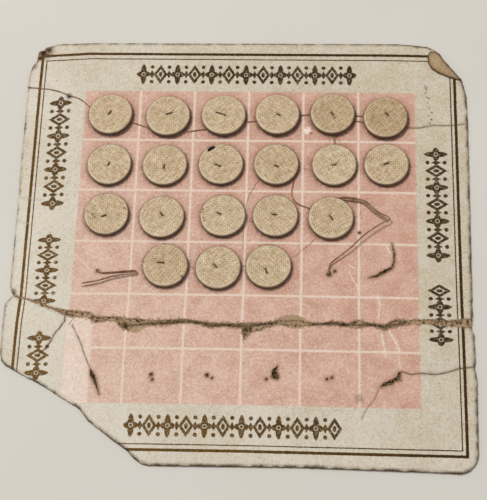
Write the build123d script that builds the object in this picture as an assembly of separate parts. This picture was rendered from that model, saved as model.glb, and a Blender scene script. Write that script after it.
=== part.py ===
from build123d import *
import math
import os

# A printed pasteboard card of linen covered buttons, worn and torn, with
# twenty buttons still sewn in their squares and sixteen squares empty.
# Millimetres. The origin is the middle of the printed grid on the back of
# the card, +Z comes out of the printed face and +Y is the top of the card.

# Printed grid: one button to a square
cell = 20.0
columns = 6
rows = 6

# Card
card_thickness = 1.0
margin_left = 22.3
margin_right = 19.0
margin_top = 20.3
margin_bottom = 22.0
flap_thickness = 0.45
flap_gap = 0.12
tear_depth = 0.6
ply_depth = 0.2
crack_depth = 0.3

# Buttons
button_diameter = 16.2
button_height = 1.75
button_edge = 0.5
button_sides = 36
cloth = 0.35
ring_width = 1.4

# Threads
thread_radius = 0.22
fine_radius = 0.17
thread_sides = 5
thread_clearance = 0.03
seat_clearance = 0.02
needle_radius = 0.3
needle_sides = 6
thread_tail = 6.0

# Sewn buttons: row, column, centre and stitch as shifts in the square and
# on the button, then the stitch's angle in degrees and its span
sewn_buttons = [
    (1, 1, (-0.6, 0.1), (-0.2, 0.5), 57, 1.3),
    (1, 2, (0.5, -0.7), (0.4, 0.9), 20, 2.0),
    (1, 3, (0.8, -0.4), (-1.0, 0.4), -19, 3.4),
    (1, 4, (0.3, -0.2), (0.4, -0.2), -33, 1.3),
    (1, 5, (0.2, 0.0), (0.0, -0.2), -60, 1.1),
    (1, 6, (-0.7, -1.6), (0.5, 1.3), -48, 1.3),
    (2, 1, (0.1, 0.0), (-0.2, 0.0), 60, 1.1),
    (2, 2, (0.2, -0.3), (-0.2, -0.7), 88, 1.4),
    (2, 3, (0.4, 0.0), (-1.0, -0.5), -22, 1.9),
    (2, 4, (0.3, -0.1), (0.1, -0.7), -25, 1.1),
    (2, 5, (1.0, -0.3), (0.1, 0.0), 10, 1.1),
    (2, 6, (-0.4, -0.2), (-0.1, 0.3), 20, 1.7),
    (3, 1, (0.2, 0.4), (-0.8, -0.8), 20, 1.5),
    (3, 2, (0.0, -0.7), (0.0, 1.0), -58, 1.4),
    (3, 3, (1.8, -0.2), (-1.4, 0.8), -25, 1.4),
    (3, 4, (0.4, -0.2), (-0.3, 0.4), -5, 1.3),
    (3, 5, (0.0, -1.0), (0.1, 0.1), -54, 1.7),
    (4, 2, (2.2, 0.7), (-1.6, 1.0), -4, 2.1),
    (4, 3, (0.8, 0.0), (-1.0, 0.6), -45, 1.6),
    (4, 4, (-1.6, 0.5), (-0.7, -1.8), -70, 1.8),
]

# The button whose cover is worn through at its rim, and where
worn_button = (2, 3)
worn_angle = 121
worn_length = 3.4
worn_width = 1.1

# Needle holes left in the empty squares: row, column, shift, radius
empty_holes = [
    (4, 1, (-1.8, -1.0), 0.5),
    (4, 5, (-0.4, -2.0), 0.8),
    (4, 5, (1.5, -0.8), 0.42),
    (5, 1, (-1.3, 0.4), 0.4),
    (5, 3, (-1.2, -1.1), 0.5),
    (5, 5, (0.3, -0.3), 0.45),
    (5, 6, (-1.2, -1.6), 0.7),
    (6, 2, (-0.9, 0.8), 0.6),
    (6, 2, (-0.5, -1.0), 0.4),
    (6, 3, (-1.7, 0.7), 0.65),
    (6, 3, (0.0, -0.3), 0.35),
    (6, 4, (-1.4, -0.5), 0.4),
    (6, 5, (-0.8, -0.3), 0.4),
    (6, 5, (0.8, 0.2), 0.35),
]

# The tear across the fifth row, with its upper and lower lips from the middle
# line of that row: x from the card's left edge, then in squares from the
# grid's middle, then from the card's right edge
tear_left = [(2.1, 9.7, 9.2), (8.3, 7.9, 7.5), (16.3, 4.9, 4.2)]
tear_middle = [
    (-3.02, 4.0, 1.8), (-2.7, 3.5, 1.6), (-2.57, 1.9, -0.3), (-2.25, 1.8, 0.5), (-2.08, 1.5, -2.6),
    (-2.01, 1.2, -3.0), (-1.87, 1.4, -1.2), (-1.7, 0.7, -1.4), (-1.4, 0.7, -1.1), (-1.05, 1.1, 0.0),
    (-0.72, 0.2, -0.9), (-0.55, 0.0, -2.0), (-0.3, -0.2, -1.4), (-0.02, -0.4, -2.4), (0.02, -0.4, -6.0),
    (0.16, -0.1, -3.6), (0.4, -0.4, -1.7), (0.6, 1.0, -0.5), (0.85, 1.3, -0.9), (1.12, 0.4, -1.2),
    (1.3, -0.5, -1.0), (1.55, 0.8, -0.7), (1.8, 0.0, -1.3), (2.0, 1.2, -1.9), (2.2, 0.0, -0.9),
    (2.44, -0.7, -2.4), (2.62, 1.5, -1.2), (2.9, 1.1, -0.2),
]
tear_right = [(-15.0, 1.5, 0.1), (-9.0, 1.0, -0.7), (-4.0, 1.6, -1.2), (1.0, 2.0, -1.3)]

# Spots where only the top ply is gone, from the middle of a square
bare_spots = [
    (5, 2, [(-12.2, -0.4), (-11.2, -2.7), (-8.0, -4.3), (-5.8, -3.9), (-2.8, -1.4), (-6.0, 0.2)]),
    (5, 4, [(1.6, 1.2), (4.8, 2.9), (7.2, 3.1), (11.6, 1.8), (13.4, 0.0), (10.6, -2.3), (5.6, -2.1), (2.0, 0.0)]),
    (5, 4, [(-10.0, -2.6), (-2.2, -1.8), (-3.8, -3.1), (-7.4, -3.7)]),
]

# Holes torn right through, from the middle of a square
torn_holes = [
    (6, 1, [(-2.1, 2.6), (-0.9, 1.4), (0.1, -0.6), (0.7, -3.2), (1.5, -6.4), (0.1, -3.0), (-0.8, -1.5),
            (-1.9, 0.2)]),
    (6, 6, [(-2.7, -3.0), (-1.5, -1.6), (0.5, -0.8), (2.6, 0.4), (3.7, 2.3), (4.2, 2.2), (4.1, -0.6),
            (2.6, -0.7), (1.4, -1.8), (-1.7, -2.8)]),
    (6, 4, [(0.3, 0.2), (0.6, 2.7), (2.4, 4.2), (2.0, 2.6), (2.9, 0.3), (2.5, -0.6), (1.0, -0.3)]),
    (4, 6, [(1.4, 9.8), (2.0, 6.0), (1.9, 2.6), (1.0, 0.7), (-1.4, -0.4), (-4.0, -2.2), (-6.6, -3.1),
            (-4.0, -2.9), (-1.0, -1.4), (1.4, 0.1), (2.3, 2.4), (2.4, 6.0)]),
]

# Worked out from the sizes above
half_width = columns * cell / 2
half_height = rows * cell / 2
left = -(half_width + margin_left)
right = half_width + margin_right
top = half_height + margin_top
bottom = -(half_height + margin_bottom)
button_radius = button_diameter / 2
tear_y = half_height - 4.5 * cell
fine_height = fine_radius + seat_clearance
back_thread_z = thread_radius + thread_clearance
groove_depth = 2 * back_thread_z


def square(row, column):
    """Middle of a square, rows from the top and columns from the left."""
    x = (column - 0.5) * cell - half_width
    y = half_height - (row - 0.5) * cell
    return x, y


def button_seat(row):
    """The first row's buttons ride on the fine thread that runs under them."""
    if row == 1:
        return card_thickness + 2 * fine_height
    return card_thickness


def stitch_ends(button):
    """The middle of a button and the two points where its thread goes in."""
    row, column, shift, stitch, angle, span = button
    x, y = square(row, column)
    x += shift[0]
    y += shift[1]
    reach = Vector(span / 2, 0, 0).rotate(Axis.Z, angle)
    middle = Vector(x + stitch[0], y + stitch[1], 0)
    return (x, y), middle - reach, middle + reach


def needle_hole(x, y, radius, height):
    """A pricked hole has flats, as a sewing awl leaves it."""
    prism = extrude(RegularPolygon(radius, needle_sides), height)
    return Pos(x, y, 0) * prism


def card_outline():
    """The worn edge, drawn anticlockwise from the torn-off corner."""
    torn_corner = [
        (left - 1.6, bottom + 40.2), (left - 1.1, bottom + 37.8), (left + 0.5, bottom + 36.0),
        (left + 3.3, bottom + 34.3), (left + 14.1, bottom + 28.7), (left + 27.4, bottom + 20.5),
        (left + 28.2, bottom + 19.3), (left + 30.4, bottom + 16.5), (left + 40.3, bottom + 8.9),
        (left + 44.4, bottom + 6.1), (left + 46.4, bottom + 3.8), (left + 49.2, bottom + 1.6),
        (left + 52.0, bottom + 0.9),
    ]
    bottom_edge = [(half_width - 40.0, bottom + 0.8), (right - 12.0, bottom - 0.5), (right - 5.0, bottom - 0.8)]
    lower_right = [
        (right + 0.7, bottom + 6.2), (right + 0.8, tear_y - 19.6), (right + 0.1, tear_y - 15.6),
        (right + 0.4, tear_y - 13.4), (right + 0.3, tear_y - 4.0), (right - 0.8, tear_y - 1.6),
        (right - 0.5, tear_y + 1.2), (right - 0.2, tear_y + 3.4),
    ]
    upper_right = [(right - 0.3, half_height - 14.0), (right - 0.6, half_height - 2.0)]
    folded_corner = [
        (right - 1.8, top - 16.8), (right - 3.9, top - 13.4), (right - 8.6, top - 7.4),
        (right - 9.8, top - 5.2), (right - 11.2, top - 3.6), (right - 14.4, top - 1.9),
    ]
    top_edge = [(half_width - 6.0, top - 0.7), (0.0, top - 0.2), (left + 24.0, top + 0.4), (left + 10.4, top)]
    crushed_corner = [
        (left + 8.2, top - 0.8), (left + 5.6, top - 1.4), (left + 4.6, top - 2.7), (left + 3.0, top - 2.9),
        (left + 2.7, top - 5.8), (left + 2.4, top - 7.6), (left + 1.0, top - 9.6), (left + 0.3, top - 13.4),
    ]
    left_edge = [
        (left - 0.1, half_height - 30.0), (left + 0.2, half_height - 42.4), (left, half_height - 52.0),
        (left - 0.1, tear_y + 12.7), (left + 0.9, tear_y + 10.5), (left + 2.2, tear_y + 9.4),
        (left + 0.3, tear_y + 9.0), (left - 1.3, tear_y + 6.5), (left - 1.7, tear_y - 1.0),
    ]
    corner_start = bottom_edge[-1]
    corner_end = lower_right[0]
    corner_middle = (right - 1.1, bottom + 1.4)
    edge = [
        Polyline(*torn_corner, *bottom_edge),
        ThreePointArc(corner_start, corner_middle, corner_end),
        Polyline(*lower_right, *upper_right, *folded_corner, *top_edge, *crushed_corner, *left_edge, torn_corner[0]),
    ]
    return make_face(Curve() + edge)


def moved(points, origin):
    """Points that are given from an edge or a square, in the card's frame."""
    return [(origin[0] + x, origin[1] + y) for x, y in points]


def cut_from_top(points, depth):
    """A straight-sided cutter from the printed face down."""
    face = make_face(Polyline(*points, close=True))
    return Pos(0, 0, card_thickness - depth) * extrude(face, depth + 1)


def tear_outline():
    """Both lips of the tear, along the upper one and back along the lower."""
    lips = [(left + x, upper, lower) for x, upper, lower in tear_left]
    lips += [(x * cell, upper, lower) for x, upper, lower in tear_middle]
    lips += [(right + x, upper, lower) for x, upper, lower in tear_right]
    upper_lip = [(x, tear_y + upper) for x, upper, lower in lips]
    lower_lip = [(x, tear_y + lower) for x, upper, lower in lips]
    return upper_lip + lower_lip[::-1]


def crack_lines():
    """Cracks that have only opened the top of the card: width and line."""
    low_left = (left, tear_y)
    low_right = (right, tear_y)
    high_right = (right, half_height)
    return [
        (0.4, low_left, [(20.3, 2.6), (20.0, -0.2), (17.7, -3.6), (16.1, -6.6), (14.4, -9.8), (12.1, -11.8)]),
        (0.3, square(6, 1), [(-9.2, 18.4), (-7.6, 15.4), (-6.2, 12.8), (-5.0, 9.4), (-3.6, 6.2), (-2.4, 3.4)]),
        (0.3, low_right, [(-24.4, -17.4), (-21.4, -18.4), (-17.5, -18.0), (-13.0, -18.4), (-9.0, -17.6),
                          (-5.0, -16.2), (-0.2, -15.6)]),
        (0.25, square(6, 6), [(-3.2, -3.6), (-4.6, -7.2), (-7.0, -10.4), (-9.0, -14.5)]),
        (0.25, high_right, [(-21.8, -15.0), (-17.3, -15.0), (-12.6, -13.9), (-6.6, -14.1), (-1.0, -13.4)]),
    ]


def crack_points(width, line):
    """A sliver about a line, widest in the middle and closed at both ends."""
    upper = []
    lower = []
    for before, here, after in zip(line, line[1:], line[2:]):
        along = Vector(after[0] - before[0], after[1] - before[1], 0).normalized()
        side = along.rotate(Axis.Z, 90) * width / 2
        upper.append((here[0] + side.X, here[1] + side.Y))
        lower.append((here[0] - side.X, here[1] - side.Y))
    return [line[0], *lower, line[-1], *reversed(upper)]


def turned_corner():
    """The dog-eared corner, folded over on to the face with its back showing."""
    points = [
        (right - 1.9, top - 16.0), (right - 3.9, top - 13.4), (right - 8.6, top - 7.4), (right - 9.8, top - 5.2),
        (right - 11.4, top - 4.0), (right - 13.4, top - 4.2), (right - 14.2, top - 5.8), (right - 14.0, top - 9.2),
        (right - 13.0, top - 11.2), (right - 10.8, top - 13.0), (right - 6.6, top - 15.0), (right - 3.9, top - 15.8),
    ]
    flap = extrude(make_face(Polyline(*points, close=True)), flap_thickness)
    crevice_points = [
        (right - 3.0, top - 16.2), (right - 6.3, top - 12.6), (right - 11.0, top - 6.4), (right - 15.0, top - 5.0),
        (right - 15.0, top - 12.0), (right - 10.0, top - 15.6), (right - 4.0, top - 17.0),
    ]
    crevice = extrude(make_face(Polyline(*crevice_points, close=True)), flap_gap)
    return Pos(0, 0, card_thickness) * (flap - crevice)


def thread_run(start, end):
    """A groove pressed into the back of the card by a run of thread."""
    length = math.dist(start, end)
    width = 2 * (thread_radius + thread_clearance)
    angle = math.degrees(math.atan2(end[1] - start[1], end[0] - start[0]))
    middle = ((start[0] + end[0]) / 2, (start[1] + end[1]) / 2)
    return Pos(middle[0], middle[1], groove_depth / 2) * Rot(0, 0, angle) * Box(length + width, width, groove_depth)


def row_of(row):
    """The buttons of one row, from the left."""
    return [button for button in sewn_buttons if button[0] == row]


def row_route(row):
    """One sewing thread: up through a button, over, down and on to the next."""
    route = []
    top_z = button_seat(row) + button_height + thread_radius + seat_clearance
    for button in row_of(row):
        centre, first, second = stitch_ends(button)
        if not route:
            route.append((first.X - thread_tail, first.Y, back_thread_z))
        route.append((first.X, first.Y, back_thread_z))
        route.append((first.X, first.Y, top_z))
        route.append((second.X, second.Y, top_z))
        route.append((second.X, second.Y, back_thread_z))
    route.append((second.X + thread_tail, second.Y, back_thread_z))
    return route


def make_card():
    """The board with its tear, holes, cracks and thread grooves."""
    card = extrude(card_outline(), card_thickness) + turned_corner()
    cutters = [cut_from_top(tear_outline(), tear_depth)]
    for row, column, points in bare_spots:
        cutters.append(cut_from_top(moved(points, square(row, column)), ply_depth))
    for row, column, points in torn_holes:
        cutters.append(cut_from_top(moved(points, square(row, column)), card_thickness + 1))
    for width, origin, line in crack_lines():
        cutters.append(cut_from_top(crack_points(width, moved(line, origin)), crack_depth))
    for row, column, shift, radius in empty_holes:
        x, y = square(row, column)
        cutters.append(needle_hole(x + shift[0], y + shift[1], radius, card_thickness))
    for button in sewn_buttons:
        centre, first, second = stitch_ends(button)
        for point in (first, second):
            cutters.append(needle_hole(point.X, point.Y, needle_radius, card_thickness))
    for row in range(1, rows + 1):
        if not row_of(row):
            continue
        route = row_route(row)
        for start, end in zip(route[0::4], route[1::4]):
            cutters.append(thread_run(start[:2], end[:2]))
    return card - cutters


def disc(radius, height):
    """A round plate, drawn with small flats to keep twenty buttons light."""
    return extrude(RegularPolygon(radius, button_sides), height)


def button_blank():
    """A drum of linen: straight sides and a rim that is bevelled on top."""
    drum = disc(button_radius, button_height)
    rim = drum.edges().group_by(Axis.Z)[-1]
    return chamfer(rim, button_edge)


def ring_blank(width):
    """The wire ring that the linen is stretched on, or its space inside."""
    outer = button_radius - cloth
    height = button_height - 2 * cloth
    return Pos(0, 0, cloth) * (disc(outer, height) - disc(outer - width, height))


def worn_patch():
    """The sliver of cover that is worn away over the ring."""
    reach = worn_length / 2
    inner = button_radius - cloth - worn_width
    points = [(inner + 0.5, -reach), (button_radius + 1, -reach), (button_radius + 1, reach - 0.4),
              (inner + 0.2, reach - 0.2), (inner, reach - 1.2)]
    patch = extrude(make_face(Polyline(*points, close=True)), button_height)
    return Pos(0, 0, button_height - 2 * cloth) * Rot(0, 0, worn_angle) * patch


def make_button(button):
    """A sewn button in its square, with the two holes of its stitch."""
    row, column = button[:2]
    centre, first, second = stitch_ends(button)
    blank = button_blank()
    if (row, column) == worn_button:
        blank = blank - ring_blank(ring_width) - worn_patch()
    placed = Pos(centre[0], centre[1], button_seat(row)) * blank
    for point in (first, second):
        hole = needle_hole(point.X, point.Y, needle_radius, button_height)
        placed = placed - Pos(0, 0, button_seat(row)) * hole
    return placed


def make_ring():
    """The ring that shows through the worn cover."""
    button = [entry for entry in sewn_buttons if entry[:2] == worn_button][0]
    centre, first, second = stitch_ends(button)
    return Pos(centre[0], centre[1], button_seat(worn_button[0])) * ring_blank(ring_width)


def make_row_thread(row):
    """The thread of one row, with square turns at the holes."""
    route = row_route(row)
    section = Plane(origin=route[0], z_dir=(1, 0, 0)) * RegularPolygon(thread_radius, thread_sides)
    return sweep(section, path=Polyline(*route), transition=Transition.RIGHT)


def bend_radii(points):
    """The largest arc that each pair of runs has room for."""
    radii = []
    for before, here, after in zip(points, points[1:], points[2:]):
        run_in = Vector(*here) - Vector(*before)
        run_out = Vector(*after) - Vector(*here)
        turn = math.radians(run_in.get_angle(run_out))
        shorter = min(run_in.length, run_out.length)
        radii.append(0.45 * shorter / math.tan(turn / 2))
    return radii


def make_loose_thread(name, route, radius):
    """A thread on the face, as straight runs joined by arcs."""
    points = [(x, y, card_thickness + height) for x, y, height in route]
    radii = bend_radii(points)
    path = FilletPolyline(*points, radius=radii)
    start = Vector(*points[1]) - Vector(*points[0])
    section = Plane(origin=points[0], z_dir=start) * RegularPolygon(radius, thread_sides)
    thread = sweep(section, path=path)
    expected = section.area * path.length
    print(f"{name}: length {path.length:.1f}, volume {thread.volume:.2f} of {expected:.2f},",
          "radii", [round(value, 1) for value in radii])
    return thread


# Loose threads: x, y and height above the printed face
# The fine thread that comes over the left edge, runs under the first row
# from button to button, turns back under the last and ends at the row below
front_line = [
    (-82.3, 61.9), (-76.0, 61.6), (-70.6, 60.4), (-66.4, 58.5), (-62.4, 57.2), (-59.4, 54.6), (-55.4, 50.2),
    (-50.2, 47.8), (-44.4, 47.9), (-38.4, 45.9), (-31.6, 43.1), (-24.4, 43.2), (-17.0, 44.4), (-9.4, 45.4),
    (-1.8, 47.4), (5.6, 48.2), (10.6, 47.1), (15.2, 49.2), (20.4, 50.4), (26.4, 50.9), (32.6, 51.4),
    (38.4, 49.8), (42.4, 49.6), (45.6, 50.4), (47.2, 48.6), (45.6, 46.6), (41.6, 47.2), (37.4, 48.1),
    (33.6, 46.8), (31.2, 43.6), (30.9, 40.6), (31.3, 38.2),
]

# The thread that once held two lost buttons: from the rim of the third row's
# last button, round a tight fold and back into a needle hole
long_route = [
    (32.7, 17.05, 0.3), (34.9, 17.7, 0.5), (38.6, 16.7, 0.9), (42.4, 15.7, 1.2), (44.8, 12.9, 1.5),
    (47.6, 10.3, 1.8), (50.5, 9.2, 1.9), (50.8, 8.2, 1.9), (48.4, 7.1, 1.9), (44.6, 4.6, 1.9), (40.8, 1.4, 1.8),
    (37.4, -2.3, 1.7), (33.2, -5.6, 1.3), (30.2, -7.9, 0.9), (29.3, -10.2, 0.65), (29.4, -11.5, 0.4),
    (29.6, -12.05, -0.3),
]
second_strand_route = [
    (33.55, 16.7, 0.25), (37.4, 15.9, 0.6), (40.8, 15.7, 0.9), (43.0, 13.6, 1.2), (45.4, 10.8, 1.5),
    (49.4, 8.6, 1.75),
]

# A cut end folded on itself in the first empty square of the fourth row
folded_route = [
    (-51.85, -11.0, -0.5), (-51.7, -11.1, 0.3), (-50.2, -11.9, 0.42), (-46.4, -11.6, 0.45), (-42.6, -11.25, 0.5),
    (-40.4, -11.08, 0.55), (-39.1, -11.0, 0.6), (-38.05, -11.03, 0.65), (-37.7, -11.63, 0.7), (-38.05, -12.23, 0.75),
    (-39.2, -12.36, 0.8), (-41.0, -12.5, 0.9), (-44.0, -12.9, 1.05), (-47.4, -13.7, 1.25), (-52.0, -15.5, 1.5),
    (-56.8, -16.2, 1.6),
]

# A stray end between a button of the second row and one of the third
stray_line = [(16.8, 24.45), (15.9, 20.6), (16.0, 17.8), (17.4, 15.4), (19.7, 14.1), (22.4, 13.1)]

parts = {"card": make_card(), "ring_r2_c3": make_ring()}
for button in sewn_buttons:
    parts[f"button_r{button[0]}_c{button[1]}"] = make_button(button)
for row in range(1, rows + 1):
    if row_of(row):
        parts[f"sewing_thread_row_{row}"] = make_row_thread(row)
loose_threads = {
    "front_thread_row_1": ([(x, y, fine_height) for x, y in front_line], fine_radius),
    "long_thread": (long_route, thread_radius),
    "long_thread_second_strand": (second_strand_route, thread_radius),
    "folded_thread_end": (folded_route, thread_radius),
    "stray_thread_end": ([(x, y, fine_height) for x, y in stray_line], fine_radius),
}
for name, (route, radius) in loose_threads.items():
    parts[name] = make_loose_thread(name, route, radius)

os.makedirs("parts", exist_ok=True)
for name, solid in parts.items():
    solid.label = name
    export_step(solid, f"parts/{name}.step")
    print(name, "written")
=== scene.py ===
import math
import random

import bmesh
import bpy
import numpy as np
from mathutils import Matrix, Vector, noise
from mathutils.bvhtree import BVHTree
from mathutils.geometry import delaunay_2d_cdt
from mathutils.kdtree import KDTree


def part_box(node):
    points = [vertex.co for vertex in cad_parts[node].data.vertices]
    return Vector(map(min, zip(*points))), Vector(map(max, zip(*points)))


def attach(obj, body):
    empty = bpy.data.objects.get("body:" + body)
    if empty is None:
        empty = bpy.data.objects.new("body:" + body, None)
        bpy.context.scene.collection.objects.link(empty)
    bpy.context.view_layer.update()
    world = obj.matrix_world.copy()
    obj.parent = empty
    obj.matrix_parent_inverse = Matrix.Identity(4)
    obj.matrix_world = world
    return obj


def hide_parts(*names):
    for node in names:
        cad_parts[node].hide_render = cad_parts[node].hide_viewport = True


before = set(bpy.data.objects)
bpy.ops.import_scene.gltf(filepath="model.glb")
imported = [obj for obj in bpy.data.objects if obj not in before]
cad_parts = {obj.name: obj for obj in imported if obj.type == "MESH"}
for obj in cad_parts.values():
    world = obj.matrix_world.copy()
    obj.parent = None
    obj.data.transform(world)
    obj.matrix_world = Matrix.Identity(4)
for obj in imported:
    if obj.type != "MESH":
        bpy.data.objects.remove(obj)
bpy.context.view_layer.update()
mm = 0.001
face = 1.0  # height of the printed face above the table, in millimetres
noise.seed_set(7)  # noise vectors start from the clock without it


# Camera, at the photograph's own view
camera = {"place": (0.04044, -0.23743, 0.55817), "turn": (22.8902, 3.5084, 1.6676), "lens": 124.111}


def addCamera():
    turn = [math.radians(angle) for angle in camera["turn"]]
    bpy.ops.object.camera_add(location=camera["place"], rotation=turn)
    eye = bpy.context.object
    eye.data.lens = camera["lens"]
    bpy.context.scene.camera = eye
    print("camera placed")


# Shading helpers: each adds its node to the material that was started last
shading = {}


def tint(red, green, blue):  # a screen colour, 0 to 255, as a shader takes it
    steps = [value / 255 for value in (red, green, blue)]
    return tuple(s / 12.92 if s < 0.04045 else ((s + 0.055) / 1.055) ** 2.4 for s in steps) + (1,)


def addNode(kind):
    return shading["material"].node_tree.nodes.new("ShaderNode" + kind)


def feed(made, inputs, output=0):
    for name, value in inputs.items():
        if isinstance(value, bpy.types.NodeSocket):
            shading["material"].node_tree.links.new(value, made.inputs[name])
        else:
            made.inputs[name].default_value = value
    return made.outputs[output]


def calc(operation, *values, clamp=False):
    made = addNode("Math")
    made.operation = operation
    made.use_clamp = clamp
    return feed(made, dict(enumerate(values)))


def times(first, second):
    return calc("MULTIPLY", first, second)


def plus(first, second, clamp=False):
    return calc("ADD", first, second, clamp=clamp)


def minus(first, second, clamp=False):
    return calc("SUBTRACT", first, second, clamp=clamp)


def absolute(value):
    return calc("ABSOLUTE", value)


def strongest(found, *values):
    for value in values:
        found = calc("MAXIMUM", found, value)
    return found


def mixColour(share, first, second, blend="MIX"):
    made = addNode("Mix")
    made.data_type = "RGBA"
    made.blend_type = blend
    return feed(made, {0: share, 6: first, 7: second}, 2)


def grain(place, scale, detail=3.0, rough=0.55, stretch=None):  # lumps to a millimetre
    if stretch:
        place = feed(addNode("Mapping"), {"Vector": place, "Scale": stretch})
    return feed(addNode("TexNoise"), {"Vector": place, "Scale": scale, "Detail": detail, "Roughness": rough})


def spread(value, low, high, top=1.0):  # stretches low to high over 0 to top
    return feed(addNode("MapRange"), {"Value": value, "From Min": low, "From Max": high, "To Max": top})


def attribute(name):
    made = addNode("Attribute")
    made.attribute_name = name
    return made.outputs["Fac"]


def marked(colour, name, value, low, high, cover, top=1.0):  # an attribute's colour, broken by a grain
    return mixColour(times(attribute(name), spread(value, low, high, top)), colour, cover)


def uvPlace(name):
    made = addNode("UVMap")
    made.uv_map = name
    return made.outputs[0]


def split(place):
    made = addNode("SeparateXYZ")
    feed(made, {0: place})
    return list(made.outputs)


def startMaterial(name, rough, specular=0.2, sheen=0.0):  # gives the place on the object, in millimetres
    material = bpy.data.materials.new(name)
    material.use_nodes = True
    shading["material"] = material
    shading["shader"] = material.node_tree.nodes["Principled BSDF"]
    feed(shading["shader"], {"Roughness": rough, "Specular IOR Level": specular, "Sheen Weight": sheen})
    coords = addNode("TexCoord").outputs["Object"]
    return feed(addNode("Mapping"), {"Vector": coords, "Scale": (1000, 1000, 1000)})


def finishMaterial(colour, height=None, strength=0.0, distance=0.0):
    ends = {"Base Color": colour}
    if height is not None:
        ends["Normal"] = feed(addNode("Bump"), {"Height": height, "Strength": strength, "Distance": distance})
    feed(shading["shader"], ends)
    return shading["material"]


# Mesh helpers
def addPiece(name, points, faces, materials, slots=None):
    data = bpy.data.meshes.new(name)
    data.from_pydata([(x * mm, y * mm, z * mm) for x, y, z in points], [], faces)
    for material in materials:
        data.materials.append(material)
    if slots is not None:
        data.polygons.foreach_set("material_index", slots)
    data.polygons.foreach_set("use_smooth", [True] * len(faces))
    piece = bpy.data.objects.new(name, data)
    bpy.context.collection.objects.link(piece)
    return piece


def select(piece):
    bpy.ops.object.select_all(action="DESELECT")
    piece.select_set(True)
    bpy.context.view_layer.objects.active = piece


def softEdges(piece, degrees):
    select(piece)
    bpy.ops.object.shade_smooth_by_angle(angle=math.radians(degrees))


def paint(piece, name, values):  # one number for each point
    layer = piece.data.attributes.new(name, "FLOAT", "POINT")
    layer.data.foreach_set("value", values)


def settle(piece, slot, *nodes):
    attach(piece, "root")
    if nodes:
        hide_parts(*nodes)


def wave(x, y, z, scale):
    return noise.noise(Vector((x * scale, y * scale, z)))


# Paper and print, laid out in millimetres on the flat card
printLayout = {
    "thickRule": (-78.0, 75.2, -76.25, 75.5, 1.05),  # left, right, bottom, top, width
    "thinRule": (-76.4, 73.6, -74.25, 73.4, 0.42),
    "field": (60.5, 60.0),
    "gridPitch": 20.0,
    "gridWidth": 0.85,
    "ornamentPitch": 6.4,
    "bleached": (-51.6, -27.5),  # left of and below this the pink has nearly gone
}
motifs = {  # half width and half height of the shapes in a row of ornaments
    "lozenge": (2.7, 4.15),
    "heart": (0.66, 1.1),
    "upright": (1.15, 4.15),
    "level": (2.6, 1.35),
    "eye": (1.0, 1.0),
    "diamond": (0.95, 1.7),
    "dot": (0.75, 0.75),
}
ornamentBands = [  # axis, place across it, then where each run starts and ends
    ("x", 67.05, [(-42.8, 40.0)]),
    ("y", -69.7, [(-52.5, -33.3), (-25.6, 3.5), (11.5, 58.8)]),
    ("y", 67.7, [(-38.0, -14.0), (-7.0, 38.8)]),
    ("x", -67.7, [(-39.4, 34.8)]),
]
inks = {
    "dark": tint(64, 45, 18),
    "golden": tint(120, 89, 40),
    "pink": tint(216, 178, 160),
    "rose": tint(203, 160, 141),
    "deepRose": tint(184, 128, 108),
    "grid": tint(231, 209, 193),
    "paper": tint(210, 201, 184),
    "aged": tint(203, 190, 166),
    "pale": tint(222, 216, 202),
    "brown": tint(136, 108, 76),
    "bare": tint(242, 228, 215),
    # dark brown for grime, and for shade painted into the tear, the holes and round the buttons' feet
    "grimeAndShade": tint(62, 36, 14),
}


def under(value, limit, soft):  # 1 where the value is below the limit
    return plus(calc("DIVIDE", minus(limit, value), soft), 0.5, clamp=True)


def stripe(value, middle, width, soft=0.16):  # 1 on a line of that width
    return under(absolute(minus(value, middle)), width / 2, soft)


def fromRectangle(x, y, left, right, bottom, top):  # below 0 inside
    return strongest(*[minus(absolute(minus(value, (low + high) / 2)), (high - low) / 2)
                       for value, low, high in ((x, left, right), (y, bottom, top))])


def rounded(p, q, shape, power=2.0):  # 1 on the edge of an ellipse, or with power 1 of a lozenge
    return plus(*[calc("POWER", absolute(calc("DIVIDE", value, half)), power)
                  for value, half in zip((p, q), motifs[shape])])


def ornamentRow(along, q, runs):  # open lozenges and florets by turns, small diamonds between
    pitch = printLayout["ornamentPitch"]
    cells, window, between = 0.0, 0.0, 0.0
    for start, end in runs:  # a whole number of motifs to each run
        length = end - start
        count = max(2, round(length / pitch))
        inside = stripe(along, (start + end) / 2, length, 0.05)
        cells = plus(cells, times(times(minus(along, start), count / length), inside))
        window = plus(window, inside)
        between = plus(between, stripe(along, (start + end) / 2, length - 3.0, 0.2))
    p = times(minus(calc("FRACT", cells), 0.5), pitch)
    parity = calc("PINGPONG", calc("FLOOR", cells), 1.0)
    hollow = stripe(rounded(p, q, "lozenge", 1.0), 0.74, 0.46, 0.1)
    openLozenge = strongest(hollow, under(rounded(p, q, "heart"), 1.0, 0.4))
    petals = strongest(*[under(rounded(p, q, shape), 1.0, 0.25) for shape in ("upright", "level")])
    floret = minus(petals, stripe(rounded(p, q, "eye"), 0.45, 0.30, 0.12), clamp=True)
    motif = plus(times(openLozenge, parity), times(floret, minus(1.0, parity)))
    side = minus(pitch / 2, absolute(p))
    diamond = under(rounded(side, q, "diamond", 1.0), 1.0, 0.2)
    dots = under(rounded(side, minus(absolute(q), 3.05), "dot"), 1.0, 0.4)
    return times(strongest(motif, times(strongest(diamond, dots), between)), window)


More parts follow.
